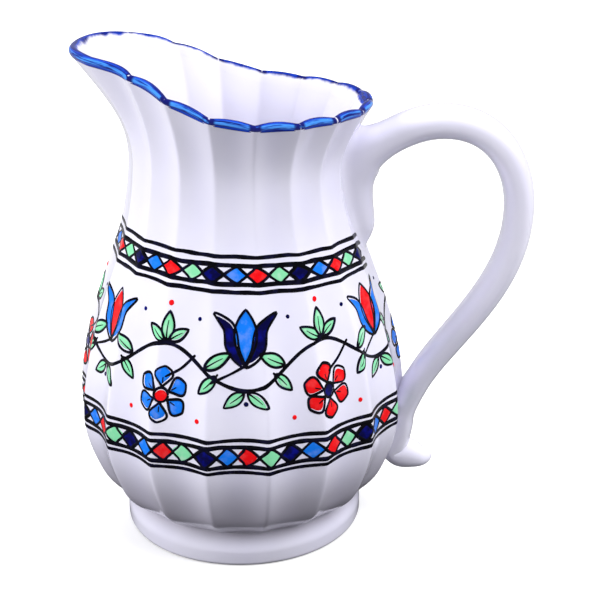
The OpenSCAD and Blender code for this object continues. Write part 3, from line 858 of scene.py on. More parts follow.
def border(s, low, tall, lines, line, step, first, film, tilt, seed):
    """Solids of one border: four lines round the jug, two zigzag lines that cross between the
    lozenges, and a dab of enamel in each. It stops at either side of the handle, towards which
    it sinks by tilt times the cosine of the angle, and right beside it a little more."""
    rng = np.random.default_rng(seed)
    solids = []

    def tipped(path):
        path = np.asarray(path, float)
        angle = (path[:, 0] + pi) % tau - pi
        sunk = tilt * (np.cos(angle) + np.exp(-(angle / BESIDE_HANDLE) ** 2))
        return np.stack([path[:, 0], path[:, 1] - sunk], 1)

    for k, share in enumerate(lines):
        start = BORDER_END + rng.uniform(*END_DRIFT)
        stop = tau - BORDER_END - rng.uniform(*END_DRIFT)
        angle = np.linspace(start, stop, LINE_POINTS)
        knots = np.linspace(0, tau, DRIFT_KNOTS)
        drift = np.interp(angle, knots, rng.normal(0, LINE_DRIFT * tall, DRIFT_KNOTS))
        wide = line * (1.0 if k in (0, 3) else INNER_LINE)
        path = np.stack([angle, low + share * tall + drift], 1)
        solids.append(stroke(s, tipped(path), wide, film, rng=rng))
    bottom, top = low + (lines[1] + LOZENGE_GAP) * tall, low + (lines[2] - LOZENGE_GAP) * tall
    middle, half = (bottom + top) / 2, (top - bottom) / 2
    count = int((tau - 2 * BORDER_END) / step)
    centres = first + step * np.arange(-count, count)
    centres = centres + rng.normal(0, PLACE_DRIFT * step, len(centres))
    joints = (centres[1:] + centres[:-1]) / 2
    nearest = BORDER_END + step * LAST_LOZENGE
    for k in range(1, len(centres) - 1):
        centre, left, right = centres[k], joints[k - 1], joints[k]
        if not nearest - tau < centre < -nearest:
            continue
        colour = LOZENGE_ORDER[(k - count) % 4]
        lean = rng.normal(0, LEAN * step)
        thin = line * rng.uniform(THINNEST, THICKEST) * (NAVY_LINE if colour == NAVY else 1)
        for up in (1, -1):
            past, bend = middle - up * RUN_DOWN * half, middle + up * BEND * half
            zigzag = [(left - RUN_ON * step, past), ((left + centre) / 2, bend),
                      (centre + lean, middle + up * half), ((right + centre) / 2, bend),
                      (right + RUN_ON * step, past)]
            path = tipped(flowing(zigzag, samples=10))
            solids.append(stroke(s, path, thin, film * 0.9, rng=rng))
        a = np.linspace(0, tau, LOZENGE_POINTS, endpoint=False)
        power, reach = NAVY_LOZENGE if colour == NAVY else OTHER_LOZENGE
        wide = (right - left) / 2
        x = np.sign(np.cos(a)) * np.abs(np.cos(a)) ** power * wide * reach
        y = np.sign(np.sin(a)) * np.abs(np.sin(a)) ** power * half * reach
        edge = np.stack([centre + lean * 0.5 + rng.normal(0, DAB_DRIFT[0] * step) + x,
                         middle + rng.normal(0, DAB_DRIFT[1] * half) + y], 1)
        edge += rng.normal(0, 1, edge.shape) * [EDGE_DRIFT[0] * step, EDGE_DRIFT[1] * half]
        solids.append(fill(s, tipped(edge), film * FILL_FILM, colour))
    return solids


# The frieze: a waving vine with flowers in its bends. The sizes of its motifs are in metres
# sideways and up, or in shares of a motif's own size.

FRIEZE_SEED = 7
# Film of a dab beside that of a line, size of a dab beside its outline, and how far off it is
FILL_FILM, FILL_SIZE, FILL_SLIP = 0.6, 0.93, 0.0004


def outlined(s, edge, angle, z, film, colour, line, rng):
    """A filled shape and its drawn outline, the fill a little smaller and a little off it."""
    middle = edge.mean(0)
    inner = middle + (edge - middle) * FILL_SIZE + rng.normal(0, FILL_SLIP, 2)
    ring = flowing(np.vstack([edge, edge[:1]]), samples=4)
    return [fill(s, on_jug(s, inner, angle, z), film * FILL_FILM, colour),
            stroke(s, on_jug(s, ring, angle, z), line * rng.uniform(0.85, 1.1), film, rng=rng)]


def leaf(s, angle, z, at, heading, long, film, line, rng):
    """A pointed leaf with its midrib."""
    edge = turned(pod(long, long * 0.46, 0.85), heading, at)
    rib = flowing(turned([(-long * 0.12, 0), (long * 0.35, long * 0.02), (long * 0.72, 0)],
                         heading, at))
    wide = np.linspace(line * 0.9, line * 0.35, len(rib))
    return outlined(s, edge, angle, z, film, MINT, line, rng) + [
        stroke(s, on_jug(s, rib, angle, z), wide, film)]


def rosette(s, angle, z, at, size, colours, film, line, rng, petals=6):
    """A round flower: petals round a ringed middle."""
    solids = []
    first = rng.uniform(0, tau)
    for k in range(petals):
        heading = first + tau * k / petals + rng.normal(0, 0.04)
        start = np.array(at) + size * 0.27 * np.array([cos(heading), sin(heading)])
        edge = turned(pod(size * 0.74, size * 0.66, 1.5), heading, start)
        solids += outlined(s, edge, angle, z, film, colours[0], line, rng)
        vein = turned([(size * 0.14, 0), (size * 0.36, size * 0.02)], heading, start)
        solids.append(stroke(s, on_jug(s, flowing(vein), angle, z), line * 0.6, film))
    solids += outlined(s, disc(size * 0.25) + at, angle, z, film, colours[1], line, rng)
    return solids


# One half of a tulip's cup, in shares of its size
CUP = np.array([(0, 0), (0.10, 0.20), (0.34, 0.36), (0.66, 0.40), (0.94, 0.58), (0.80, 0.28),
                (0.60, 0.16), (0.30, 0.11)])


def tulip(s, angle, z, at, heading, size, colours, film, line, rng):
    """A cup of two outer petals round a pointed inner one."""
    solids = outlined(s, turned(pod(size, size * 0.42, 1.15), heading, at), angle, z, film,
                      colours[1], line, rng)
    for side in (-1, 1):
        half = CUP * [1, side] * size
        edge = flowing(turned(half, heading, at), closed=True, samples=5)
        solids += outlined(s, edge, angle, z, film, colours[0], line, rng)
    return solids


# Leaves on either side of a crest: place in half bays and vine waves, heading and length. Dots
# round it: place, colour and radius.
VINE_LEAVES = ((0.47, 0.10, 0.5, 0.0115), (0.60, -0.28, -2.3, 0.010))
DOTS = ((0, 0.0245, RED, 0.0012), (-0.0135, 0.0195, NAVY, 0.0009), (0.0135, 0.0195, NAVY, 0.0009),
        (-0.017, -0.0215, RED, 0.0011), (0.017, -0.0215, RED, 0.0011))


def frieze(s, paint):
    """Solids of the whole frieze, bay by bay round the jug. The vine's height is a cosine."""
    rng = np.random.default_rng(FRIEZE_SEED)
    film, line, wave, middle = paint.enamel, paint.fine_line, paint.vine_wave, paint.vine_height
    angle = np.linspace(0, tau, 900)
    vine = middle + wave * np.cos(paint.bays * (angle - paint.bay_turn))
    solids = [stroke(s, np.stack([angle, vine], 1), line * 1.35, film, rng=rng)]

    def add_stem(centre, points):
        path = on_jug(s, flowing(points), centre, middle)
        solids.append(stroke(s, path, line, film, rng=rng))

    def add_leaf(centre, at, heading, long):
        solids.extend(leaf(s, centre, middle, at, heading, long, film, line, rng))

    def add_dot(centre, at, colour, radius):
        solids.append(fill(s, on_jug(s, disc(radius) + at, centre, middle), film, colour))

    half_bay = pi / paint.bays * s.belly_radius
    for bay in range(paint.bays):
        crest = paint.bay_turn + tau * bay / paint.bays
        trough = crest + pi / paint.bays
        warm = bay % 2 == 0
        # A round flower hangs under the crest, and a tulip stands on the trough
        add_stem(crest, [(0.35 * half_bay, wave * 0.62), (0.2 * half_bay, -0.1 * wave),
                         (0.001, -0.005)])
        solids += rosette(s, crest, middle, (0, -0.0125), 0.0118,
                          (RED, NAVY) if warm else (SKY, RED), film, line, rng)
        add_stem(trough, [(-0.38 * half_bay, -wave * 0.6), (-0.16 * half_bay, -0.2 * wave),
                          (0, 0.0015)])
        solids += tulip(s, trough, middle, (0, 0.001), pi / 2 + rng.normal(0, 0.06), 0.0225,
                        (SKY, RED) if warm else (NAVY, SKY), film, line, rng)
        # Leaves in pairs on the rising and the falling vine
        for side in (-1, 1):
            for along_bay, up, heading, long in VINE_LEAVES:
                add_leaf(crest, (side * along_bay * half_bay, wave * up),
                         heading if side > 0 else pi - heading, long)
        # Three leaves stand on the crest, dots fill the ground, and two leaves and a dot hang
        # from the trough
        for heading, long in ((0.55, 0.0095), (pi / 2, 0.0115), (pi - 0.55, 0.0095)):
            add_leaf(crest, (0.0012 * cos(heading), wave + 0.0012), heading, long)
        for x, y, colour, radius in DOTS:
            add_dot(crest, (x, y), colour, radius)
        for heading in (-0.6, -pi + 0.6):
            add_leaf(trough, (0.001 * cos(heading), -wave - 0.001), heading, 0.0105)
        add_dot(trough, (0, -wave - 0.0055), NAVY, 0.0011)
    return solids


# The handle

# Stations of the handle's middle line: direction of travel in degrees from +X towards +Z, half
# width and half thickness as shares, the pull of the curve on arriving and on leaving, and how
# far it stands off the wall in thicknesses, where nothing else places it
HANDLE_STATIONS = np.array([
    (110, 0.30, 0.12, 1.0, 1.0, -0.1), (110, 0.60, 0.66, 1.0, 1.0, 0.1),
    (97, 0.85, 0.87, 1.0, 1.0, 0.1), (55, 1.00, 0.85, 1.0, 1.0, 0.45),
    (30, 1.00, 0.55, 1.0, 1.0, 0), (0, 1.00, 0.56, 1.1, 1.2, 0),
    (-90, 1.00, 0.50, 1.33, 1.18, 0), (-114, 0.88, 0.62, 0.85, 1.24, 0.72),
    (-91, 0.82, 0.55, 0.80, 1.18, 0.26), (7, 0.72, 0.88, 0.33, 1.0, 0),
    (52, 0.70, 0.50, 1.0, 1.0, 0)])
SHOULDER, LANDING, CURL = 4, 7, 9
# Shares: of the smear's height at its second station, of the way up and out to the crown
# halfway there, of the curl's reach where it starts, and of the flutes' depth in a mean wall
SMEAR_LOW, CROWN_UP, CROWN_OUT, CURL_START, MEAN_FLUTE = 0.28, 0.52, 0.42, 0.14, 0.4
# Sections from station to station, and points and power of a section
STATION_STEPS, SECTION_POINTS, SECTION_POWER = 22, 72, 2.3
# Power of the tongue's rounding, and how far along it the last section stands
TONGUE_POWER, TONGUE_END = 2.6, 0.995
# Sections over which the bend of the curl is averaged, the station where that starts and how
# fast it sets in, and the same back from the last station
BEND_STEPS, BEND_IN, BEND_OUT = 25, (7.6, 0.8), (0.15, 0.7)
# A point this far from its section's middle takes half of the fillet's sideways move
SIDE_SOFTNESS = 0.004
# Share of the fillet's quarter circle, and how far under the wall's face a point may lie
FILLET_ARC, UNDER_FACE = 0.98, 0.0012


def handle_loops(s, h):
    """Sections of the whole handle. Its middle line is a chain of Hermite cubics in the XZ
    plane, and each section is a superellipse set square to it. Where a point nears the wall it
    moves sideways along a quarter circle, so that the strap meets the wall in a fillet."""
    smear_low = h.smear_end + (h.root_height - h.smear_end) * SMEAR_LOW
    heights = np.array([h.smear_end, smear_low, (smear_low + h.root_height) / 2, h.root_height,
                        h.root_height + (h.crown_height - h.root_height) * CROWN_UP,
                        h.crown_height, h.reach_height, h.land_height,
                        (h.land_height + h.curl_height) / 2, h.curl_height, h.curl_height])
    thick = np.array([h.smear] * 3 + [h.thickness] * 4 + [h.land] * 2 + [h.curl] * 2)
    heading, width, depth, arrival, departure, off = HANDLE_STATIONS.T
    wall = outline(s, heights) - s.flute_belly * MEAN_FLUTE
    distance = wall + off * thick
    distance[4] = wall[3] + (h.crown - wall[3]) * CROWN_OUT
    distance[5:7] = h.crown, h.reach
    distance[9:] = wall[9] + h.curl_out * CURL_START, wall[9] + h.curl_out
    station = np.stack([distance, heights], 1)
    facing = np.stack([np.cos(np.radians(heading)), np.sin(np.radians(heading))], 1)
    last = len(station) - 1
    steps = np.linspace(0, last, last * STATION_STEPS + 1)
    k = np.minimum(steps.astype(int), last - 1)
    t = (steps - k)[:, None]
    a, b = station[k], station[k + 1]
    chord = np.linalg.norm(b - a, axis=1)[:, None]
    leave = facing[k] * chord * departure[k][:, None]
    arrive = facing[k + 1] * chord * arrival[k + 1][:, None]
    line = (a * (2 * t**3 - 3 * t**2 + 1) + leave * (t**3 - 2 * t**2 + t)
            + b * (3 * t**2 - 2 * t**3) + arrive * (t**3 - t**2))
    ahead = np.gradient(line, axis=0)
    ahead /= np.linalg.norm(ahead, axis=1)[:, None]
    soft = np.hanning(STATION_STEPS + 1)
    soft /= soft.sum()

    def smooth(values):
        """Values at the stations, spread over the sections and averaged along the handle."""
        every = np.interp(steps, np.arange(last + 1), values)
        return np.convolve(np.pad(every, STATION_STEPS // 2, mode="edge"), soft, "valid")

    # The curled end is rounded off like a tongue, by the root of one less a power
    tongue = np.clip((steps - CURL) / (last - CURL), 0, TONGUE_END)
    close = np.sqrt(1 - tongue**TONGUE_POWER)
    half_wide = smooth(width * h.width / 2) * close
    half_thick = smooth(depth * thick) * np.sqrt(close)
    a = np.linspace(0, tau, SECTION_POINTS, endpoint=False)
    x = np.sign(np.cos(a)) * np.abs(np.cos(a)) ** (2 / SECTION_POWER)
    y = np.sign(np.sin(a)) * np.abs(np.sin(a)) ** (2 / SECTION_POWER)
    n = half_thick[:, None] * x[None]
    loops = np.stack([line[:, None, 0] + n * ahead[:, None, 1],
                      half_wide[:, None] * y[None],
                      line[:, None, 1] - n * ahead[:, None, 0]], -1)
    # The inside of the curl's bend is softened by averaging along the handle
    pad, bend = BEND_STEPS // 2, np.hanning(BEND_STEPS + 2)[1:-1]
    near = np.pad(loops, ((pad, pad), (0, 0), (0, 0)), mode="edge")
    mean = sum(weight * near[k:k + len(loops)] for k, weight in enumerate(bend / bend.sum()))
    share = (ease((steps - BEND_IN[0]) / BEND_IN[1])
             * ease((last - BEND_OUT[0] - steps) / BEND_OUT[1]))
    loops = loops + (mean - loops) * share[:, None, None]
    return settled(s, loops, h.fillet)


def standing_off(s, loops):
    """Angle of points, radius of the wall there, and how far they stand off it."""
    angle = np.arctan2(loops[..., 1], loops[..., 0])
    wall = wall_radius(s, angle, loops[..., 2])
    return angle, wall, np.linalg.norm(loops[..., :2], axis=-1) - wall


def settled(s, loops, fillet):
    """Points near the wall, moved out of the section by fillet less the root of (fillet² minus
    what the distance lacks of it, squared); points inside the wall stop just under its face."""
    angle, _, clear = standing_off(s, loops)
    side = loops - loops.mean(1, keepdims=True)
    out = np.stack([np.cos(angle), np.sin(angle), np.zeros_like(angle)], -1)
    side = side - out * (side * out).sum(-1, keepdims=True)
    side /= np.linalg.norm(side, axis=-1, keepdims=True) + SIDE_SOFTNESS
    lack = np.clip((fillet - clear) / fillet, 0, 1)
    move = fillet * (1 - np.sqrt(1 - FILLET_ARC * lack**2)) * ease(clear / fillet + 1.0)
    moved = loops + side * move[..., None]
    angle, wall, clear = standing_off(s, moved)
    return polar(wall + np.maximum(clear, -UNDER_FACE), angle, moved[..., 2])


# Operators, one for each piece or group of like pieces, and one for the stage

def settings():
    """The sizes and colours that the panel shows."""
    scene = bpy.context.scene
    return scene.jug_shape, scene.jug_handle, scene.jug_paint, scene.jug_colours, scene.jug_stage


# Columns round the foot, the slab, the walls and the rim
FOOT_COLUMNS, SLAB_COLUMNS, WALL_COLUMNS, RIM_COLUMNS = 192, 160, 540, 1080
# Width of the foot's ledge under the slab, width and height of the bevel at its edge, and the
# bevel at the foot's top
LEDGE, LEDGE_BEVEL, TOP_BEVEL = 0.0025, (0.0006, 0.0004), 0.0005
# Faces that look down as steeply as this are bare clay
BARE_NORMAL = -0.97
# Thickness of the slab, how far its dished top rises at the wall and by which power, how far it
# runs into the bore, and how much narrower its underside is
SLAB, DISH, DISH_POWER, SLAB_INTO, SLAB_LESS = 0.006, 0.0085, 7, 0.0004, 0.0015


class JUG_OT_foot(Operator):
    """Turned foot with a bare standing ring, and the slab that closes the jug's bottom"""
    bl_idname = "jug.foot"
    bl_label = "Foot and Base"

    def execute(self, context):
        s, _, _, colours, _ = settings()
        bore = s.foot_top - s.foot_wall
        corner = np.linspace(-pi / 2, 0, 9)
        rounded = np.stack([s.foot_radius - s.foot_round + s.foot_round * np.cos(corner),
                            s.foot_round + s.foot_round * np.sin(corner)], 1)
        up = np.linspace(0, 1, 22)
        side = np.stack([s.foot_radius + (s.foot_top - s.foot_radius) * ease(up),
                         s.foot_side + (s.foot_height - s.foot_side) * up], 1)
        ledge = bore - LEDGE
        top = s.foot_height + TOP_BEVEL
        profile = np.vstack([
            [(ledge, LEDGE_BEVEL[1]), (ledge + LEDGE_BEVEL[0], 0)], rounded, side,
            [(s.foot_top - TOP_BEVEL, top), (bore + 2 * TOP_BEVEL, top),
             (bore, s.foot_height - TOP_BEVEL), (bore, s.recess), (ledge, s.recess)]])
        piece = add_piece("foot", [revolved(profile, FOOT_COLUMNS)],
                          [foot_glaze(colours), bare_clay(colours)], "foot_ring")
        normals = np.empty(len(piece.data.polygons) * 3)
        piece.data.polygons.foreach_get("normal", normals)
        down = normals.reshape(-1, 3)[:, 2] < BARE_NORMAL
        piece.data.polygons.foreach_set("material_index", down.astype(np.int32))
        # The slab is dished, and its edge runs up the bore like slip wiped into the corner
        edge, across = bore + SLAB_INTO, np.linspace(0.05, 1, 20)
        dish = np.stack([across * edge, s.recess + SLAB + DISH * across**DISH_POWER], 1)
        under = np.stack([across[::-1] * (bore - SLAB_LESS), np.full(20, s.recess)], 1)
        profile = np.vstack([
            dish, [(edge, s.recess + TOP_BEVEL), (bore - SLAB_INTO, s.recess)], under])
        angle = np.linspace(0, tau, SLAB_COLUMNS, endpoint=False)
        loops = polar(profile[:, None, 0], angle[None], profile[:, None, 1])
        marks = np.zeros((len(profile), SLAB_COLUMNS + 1, 2))
        add_piece("base", [skin(loops, marks)], [white_glaze(colours)], "base_slab")
        return {"FINISHED"}


def fluted_wall(s, outside, inside, thickness):
    """A fluted wall closed on itself: rows up the outside and down the inside. A row is a
    function that gives its height at each angle. Its marks are the count of ridges and the
    height."""
    angle = np.linspace(0, tau, WALL_COLUMNS + 1)
    rows, marks = [], []
    for heights, inner in ((outside, 0), (inside, 1)):
        for height in heights:
            z = height(angle)
            radius = wall_radius(s, angle, z) - inner * thickness(angle, z)
            rows.append(polar(radius, angle, z)[:-1])
            marks.append(np.stack([flute_place(s, angle, z), z], -1))
    return skin(np.array(rows), np.array(marks + marks[:1]), closed=True)


def level_row(share, bottom, top):
    """A level row at a share of the way between two heights."""
    return lambda angle: np.full_like(angle, bottom + (top - bottom) * share)


class JUG_OT_belly(Operator):
    """Fluted belly, its ridges rounded by the glaze"""
    bl_idname = "jug.belly"
    bl_label = "Belly"

    def execute(self, context):
        s, _, _, colours, _ = settings()
        outside, inside = (
            [level_row(t, s.foot_height, s.seam_height) for t in shares]
            for shares in (np.linspace(0, 1, 118), np.linspace(1, 0, 30)))
        solid = fluted_wall(s, outside, inside, lambda angle, z: s.wall)
        add_piece("belly", [solid], [fluted_glaze(colours)], "belly_wall")
        return {"FINISHED"}


# How far below the top of the rim the neck's clay ends, and half the height over which the
# slope of its wall is measured
NECK_UNDER_RIM, SLOPE_NEAR = 0.0022, 0.0005


def neck_level(s, share):
    """Height at a share of the way from the seam up to the rim, at every angle."""
    return lambda angle: s.seam_height + share * (
        rim_top(s, angle) - NECK_UNDER_RIM - s.seam_height)


def neck_wall(s, angle, z):
    """Level thickness of the neck's wall: towards the rim the lip's thickness, set square to
    the wall, so multiplied by the root of (1 + slope²)."""
    share = ease((z - s.seam_height) / (rim_top(s, angle) - s.seam_height))
    rise = wall_radius(s, angle, z + SLOPE_NEAR) - wall_radius(s, angle, z - SLOPE_NEAR)
    slope = rise / (2 * SLOPE_NEAR)
    square = 1 + (np.sqrt(1 + slope**2) - 1) * share
    return (s.wall + (s.lip - s.wall) * share) * square


class JUG_OT_neck(Operator):
    """Neck with its pulled pouring spout"""
    bl_idname = "jug.neck"
    bl_label = "Neck and Spout"

    def execute(self, context):
        s, _, _, colours, _ = settings()
        solid = fluted_wall(s, [neck_level(s, t) for t in np.linspace(0, 1, 62)],
                            [neck_level(s, t) for t in np.linspace(1, 0, 30)],
                            lambda angle, z: neck_wall(s, angle, z))
        add_piece("neck", [solid], [fluted_glaze(colours)], "neck_and_spout")
        return {"FINISHED"}


# Section of the rim: on the inside, depth below the top and how far it stands proud of the
# wall, in metres; on the outside, distance from the middle of the lip in half lips, and depth
# below the middle of its round in heights of the blue band
RIM_INNER = [(0.0062, -0.0010), (0.0058, -0.0001), (0.0048, 0.00003), (0.0036, 0.00005),
             (0.0027, 0.00006)]
RIM_OUTER = [(1.07, 0.2), (1.10, 0.5), (1.09, 0.8), (1.03, 1.0), (0.90, 1.05), (0.55, 0.95),
             (0.0, 0.85)]
# Half width and height of its round, in half lips, and thickness of the glaze on the lip
ROUND_WIDE, ROUND_HIGH, LIP_GLAZE = 1.05, 0.95, 0.00015
# Bell round the spout in which the rim has no ridges
CALM_BELL = (radians(42), 6)
# The rim's edges are shaded sharp from this angle on
RIM_SHARP = radians(75)
# On a ridge the rim sinks by this much, and keeps these shares of its thickness and its band
RIDGE_DIP, RIDGE_LIP, RIDGE_BAND = 0.0012, 0.84, 0.4
# Depths below the top between which the lip follows the slope of the wall
LIP_LOW, LIP_HIGH = 0.004, 0.0002
# Pattern heights where the rim starts and ends, beside the round's nought to one
MARK_START, MARK_END, MARK_STEP = -0.4, 1.5, 0.05


class JUG_OT_rim(Operator):
    """Blue rim: a rounded lip that swells between the ridges and draws in on them"""
    bl_idname = "jug.rim"
    bl_label = "Blue Rim"

    def execute(self, context):
        s, _, paint, colours, _ = settings()
        angle = np.linspace(0, tau, RIM_COLUMNS + 1)
        top = rim_top(s, angle)
        place = flute_place(s, angle, np.full_like(angle, s.rim_height))
        calm = 1 - spout_bell(angle, CALM_BELL)
        ridge = (1 - hollow(s, place)) * calm
        low = wall_radius(s, angle, top - LIP_LOW)
        high = wall_radius(s, angle, top - LIP_HIGH)
        up = np.stack([high - low, np.full_like(high, LIP_LOW - LIP_HIGH)], 1)
        up /= np.linalg.norm(up, axis=1)[:, None]
        out = np.stack([up[:, 1], -up[:, 0]], 1)
        half = (s.lip / 2 + LIP_GLAZE) * (1 - (1 - RIDGE_LIP) * ridge)
        core = (np.stack([high, top], 1) - out * (s.lip / 2)
                - up * (half + RIDGE_DIP * ridge)[:, None])
        band = paint.rim_band * (1 - (1 - RIDGE_BAND) * ridge)
        arc = np.linspace(pi, 0, 15)[1:-1]
        section = ([(cos(a) * half * ROUND_WIDE, sin(a) * half * ROUND_HIGH) for a in arc]
                   + [(x * half, -y * band) for x, y in RIM_OUTER])
        rows = []
        for depth, proud in RIM_INNER:
            z = top - depth
            rows.append(polar(wall_radius(s, angle, z) - neck_wall(s, angle, z) - proud, angle, z))
        for x, y in section:
            point = core + out * x[:, None] + up * y[:, None]
            rows.append(polar(point[:, 0], angle, point[:, 1]))
        loops = np.array(rows)[:, :-1]
        # Pattern height: nought to one over the round of the lip, from the inside out
        over = np.concatenate([
            np.linspace(MARK_START, -MARK_STEP, len(RIM_INNER)), 1 - arc / pi,
            np.linspace(1 + MARK_STEP, MARK_END, len(RIM_OUTER)), [MARK_START]])
        marks = np.stack(np.broadcast_arrays(place[None], over[:, None]), -1)
        add_piece("rim", [skin(loops, marks, closed=True)], [blue_glaze(colours)], "blue_rim",
                  RIM_SHARP)
        return {"FINISHED"}


HANDLE_PIECES = (("handle_root_above", "handle_upper_root"), ("handle_loop", "handle_strap"),
                 ("handle_root_below", "handle_lower_root"))


class JUG_OT_handle(Operator):
    """Strap handle in its three stretches: upper root, free loop, and lower root with its curl"""
    bl_idname = "jug.handle"
    bl_label = "Handle"

    def execute(self, context):
        s, handle, _, colours, _ = settings()
        loops = handle_loops(s, handle)
        cuts = [0, SHOULDER * STATION_STEPS, LANDING * STATION_STEPS, len(loops) - 1]
        for (name, node), first, last in zip(HANDLE_PIECES, cuts, cuts[1:]):
            part = loops[first:last + 1]
            marks = np.zeros((len(part), SECTION_POINTS + 1, 2))
            add_piece(name, [skin(part, marks)], [white_glaze(colours)], node)
        return {"FINISHED"}


class JUG_OT_borders(Operator):
    """Lower and upper lozenge borders"""
    bl_idname = "jug.borders"
    bl_label = "Lozenge Borders"

    def execute(self, context):
        s, _, paint, colours, _ = settings()
        finishes = enamels(colours)
        solids = border(s, paint.low_border, paint.low_border_height, LOW_LINES, paint.low_line,
                        paint.low_lozenge, LOW_FIRST, paint.enamel, 0.0, LOW_SEED)
        add_piece("lower_border_paint", solids, finishes, "lower_border")
        solids = border(s, paint.top_border, paint.top_border_height, TOP_LINES, paint.top_line,
                        paint.top_lozenge, TOP_FIRST, paint.enamel, TOP_TILT, TOP_SEED)
        add_piece("upper_border_paint", solids, finishes, "upper_border")
        return {"FINISHED"}


class JUG_OT_frieze(Operator):
    """Frieze of flowers, leaves and a waving vine between the borders"""
    bl_idname = "jug.frieze"
    bl_label = "Flower Frieze"

    def execute(self, context):
        s, _, paint, colours, _ = settings()
        add_piece("frieze_paint", frieze(s, paint), enamels(colours), None)
        return {"FINISHED"}


# Studio lights: direction round the jug, height over the floor and angle filled, in degrees
LIGHTS = (("left", -165, 15, 40), ("right", -25, 50, 40), ("front", -90, 58, 40),
          ("top", 100, 70, 60), ("low", -5, 32, 40))
WORLD_COLOUR = (0.95, 0.955, 1.0, 1)
# Rings of the floor, its columns, and the distances between which its light on the jug grows
FLOOR_RADII, FLOOR_COLUMNS, BOUNCE_RANGE = (0.02, 0.5, 1, 2, 4, 8), 96, (0.1, 0.4)
FLOOR_ROUGHNESS, FLOOR_DEEPER = 0.7, 0.985
CAMERA_PLACE, SENSOR, CLIP_START = (0.0664, -0.5407, 0.3139), 36, 0.01


def floor_mesh():
    """A flat round floor: rings of quads round a fan."""
    n = FLOOR_COLUMNS
    angle = np.linspace(0, tau, n, endpoint=False)
    loops = polar(np.array(FLOOR_RADII)[:, None], angle[None], 0.0)
    points = np.vstack([loops.reshape(-1, 3), [(0, 0, 0)]])
    i, j = np.indices((len(FLOOR_RADII) - 1, n)).reshape(2, -1)
    j2 = (j + 1) % n
    quads = np.stack([i * n + j, (i + 1) * n + j, (i + 1) * n + j2, i * n + j2], 1)
    k = np.arange(n)
    fans = np.stack([k, (k + 1) % n, np.full(n, len(points) - 1)], 1)
    mesh = bpy.data.meshes.new("floor")
    mesh.from_pydata(points.tolist(), [], quads.tolist() + fans.tolist())
    return mesh


def floor_material(stage):
    """The pale floor. The camera sees it lit from itself too, and to the jug it is darker, so
    that it throws back less light, and least beside the jug."""
    made = bpy.data.materials.new("studio_floor")
    made.use_nodes = True
    tree = made.node_tree
    place = object_place(tree)
    shade = spread(tree, noise(tree, place, 3, 2), 0.2, 0.8)
    pale = blended(tree, shade, stage.floor[:], scaled(stage.floor, FLOOR_DEEPER))
    seen = tree.nodes.new("ShaderNodeLightPath").outputs["Is Camera Ray"]
    away = add_node(tree, "ShaderNodeVectorMath", {0: place}, operation="LENGTH")
    dull = blended(tree, spread(tree, away.outputs["Value"], *BOUNCE_RANGE),
                   scaled(stage.floor, stage.near), scaled(stage.floor, stage.bounce))
    shader = tree.nodes["Principled BSDF"]
    tree.links.new(blended(tree, seen, dull, pale), shader.inputs["Base Color"])
    tree.links.new(calc(tree, "MULTIPLY", seen, stage.glow), shader.inputs["Emission Strength"])
    shader.inputs["Emission Color"].default_value = (1, 1, 1, 1)
    shader.inputs["Specular IOR Level"].default_value = 0.0
    shader.inputs["Roughness"].default_value = FLOOR_ROUGHNESS
    return made


def soft_light(name, around, rise, filled, power):
    """A wide, far studio light: its direction round the jug and above the floor, and the angle
    that it fills."""
    lamp = bpy.data.lights.new(name, "SUN")
    lamp.angle, lamp.energy = filled, power
    holder = bpy.data.objects.new(name, lamp)
    bpy.context.scene.collection.objects.link(holder)
    holder.visible_glossy = False
    holder.rotation_euler = (0, pi / 2 - rise, around)


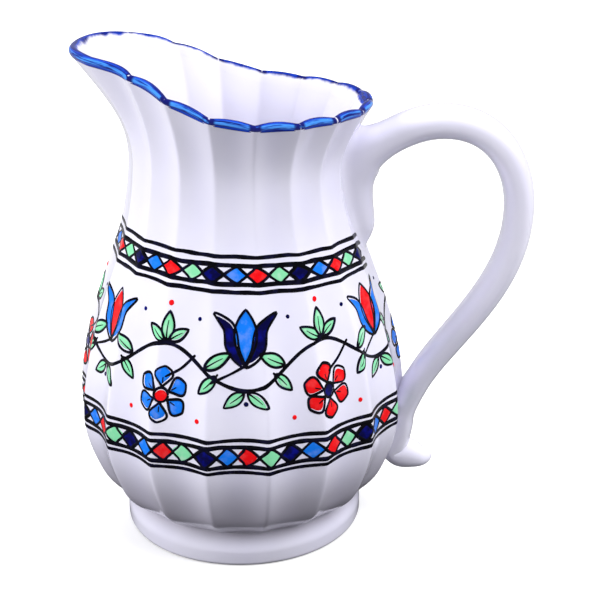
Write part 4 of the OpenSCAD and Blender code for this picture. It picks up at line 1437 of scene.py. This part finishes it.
class JUG_OT_stage(Operator):
    """Pale floor, soft studio light and the camera"""
    bl_idname = "jug.stage"
    bl_label = "Stage"

    def execute(self, context):
        stage = settings()[4]
        scene = context.scene
        mesh = floor_mesh()
        floor = bpy.data.objects.new("floor", mesh)
        scene.collection.objects.link(floor)
        mesh.materials.append(floor_material(stage))

        world = bpy.data.worlds.new("studio")
        scene.world = world
        world.use_nodes = True
        tree = world.node_tree
        back = tree.nodes["Background"]
        back.inputs["Color"].default_value = WORLD_COLOUR
        seen = tree.nodes.new("ShaderNodeLightPath").outputs["Is Camera Ray"]
        tree.links.new(calc(tree, "MAXIMUM", seen, stage.sky), back.inputs["Strength"])
        for name, around, rise, filled in LIGHTS:
            soft_light(name, radians(around), radians(rise), radians(filled), getattr(stage, name))

        lens = bpy.data.cameras.new("view")
        lens.lens, lens.sensor_width, lens.clip_start = stage.lens, SENSOR, CLIP_START
        holder = bpy.data.objects.new("view", lens)
        scene.collection.objects.link(holder)
        holder.location = CAMERA_PLACE
        holder.rotation_euler = (pi / 2 - stage.view_tilt, 0, stage.view_turn - pi / 2)
        scene.camera = holder
        scene.view_settings.view_transform = "Standard"
        return {"FINISHED"}


class JUG_PT_panel(Panel):
    """Buttons for every piece of the jug, with its sizes and colours"""
    bl_idname = "JUG_PT_panel"
    bl_label = "Fluted Jug"
    bl_space_type = "VIEW_3D"
    bl_region_type = "UI"
    bl_category = "Jug"

    def draw(self, context):
        layout = self.layout
        for operator in OPERATORS:
            layout.operator(operator.bl_idname)
        for group in GROUPS:
            data = getattr(context.scene, group)
            box = layout.box()
            for name in data.__annotations__:
                box.prop(data, name)


OPERATORS = (JUG_OT_foot, JUG_OT_belly, JUG_OT_neck, JUG_OT_rim, JUG_OT_handle, JUG_OT_borders,
             JUG_OT_frieze, JUG_OT_stage)
GROUPS = {"jug_shape": JugShape, "jug_handle": HandleShape, "jug_paint": PaintLayout,
          "jug_colours": GlazeColours, "jug_stage": StageSettings}
CLASSES = (*GROUPS.values(), *OPERATORS, JUG_PT_panel)


def register():
    for cls in CLASSES:
        bpy.utils.register_class(cls)
    for name, cls in GROUPS.items():
        setattr(bpy.types.Scene, name, PointerProperty(type=cls))


def unregister():
    for name in GROUPS:
        delattr(bpy.types.Scene, name)
    for cls in reversed(CLASSES):
        bpy.utils.unregister_class(cls)


def main():
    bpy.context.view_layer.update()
    register()
    bpy.ops.jug.foot()
    bpy.ops.jug.belly()
    bpy.ops.jug.neck()
    bpy.ops.jug.rim()
    bpy.ops.jug.handle()
    bpy.ops.jug.borders()
    bpy.ops.jug.frieze()
    bpy.ops.jug.stage()


if __name__ == "__main__":
    main()
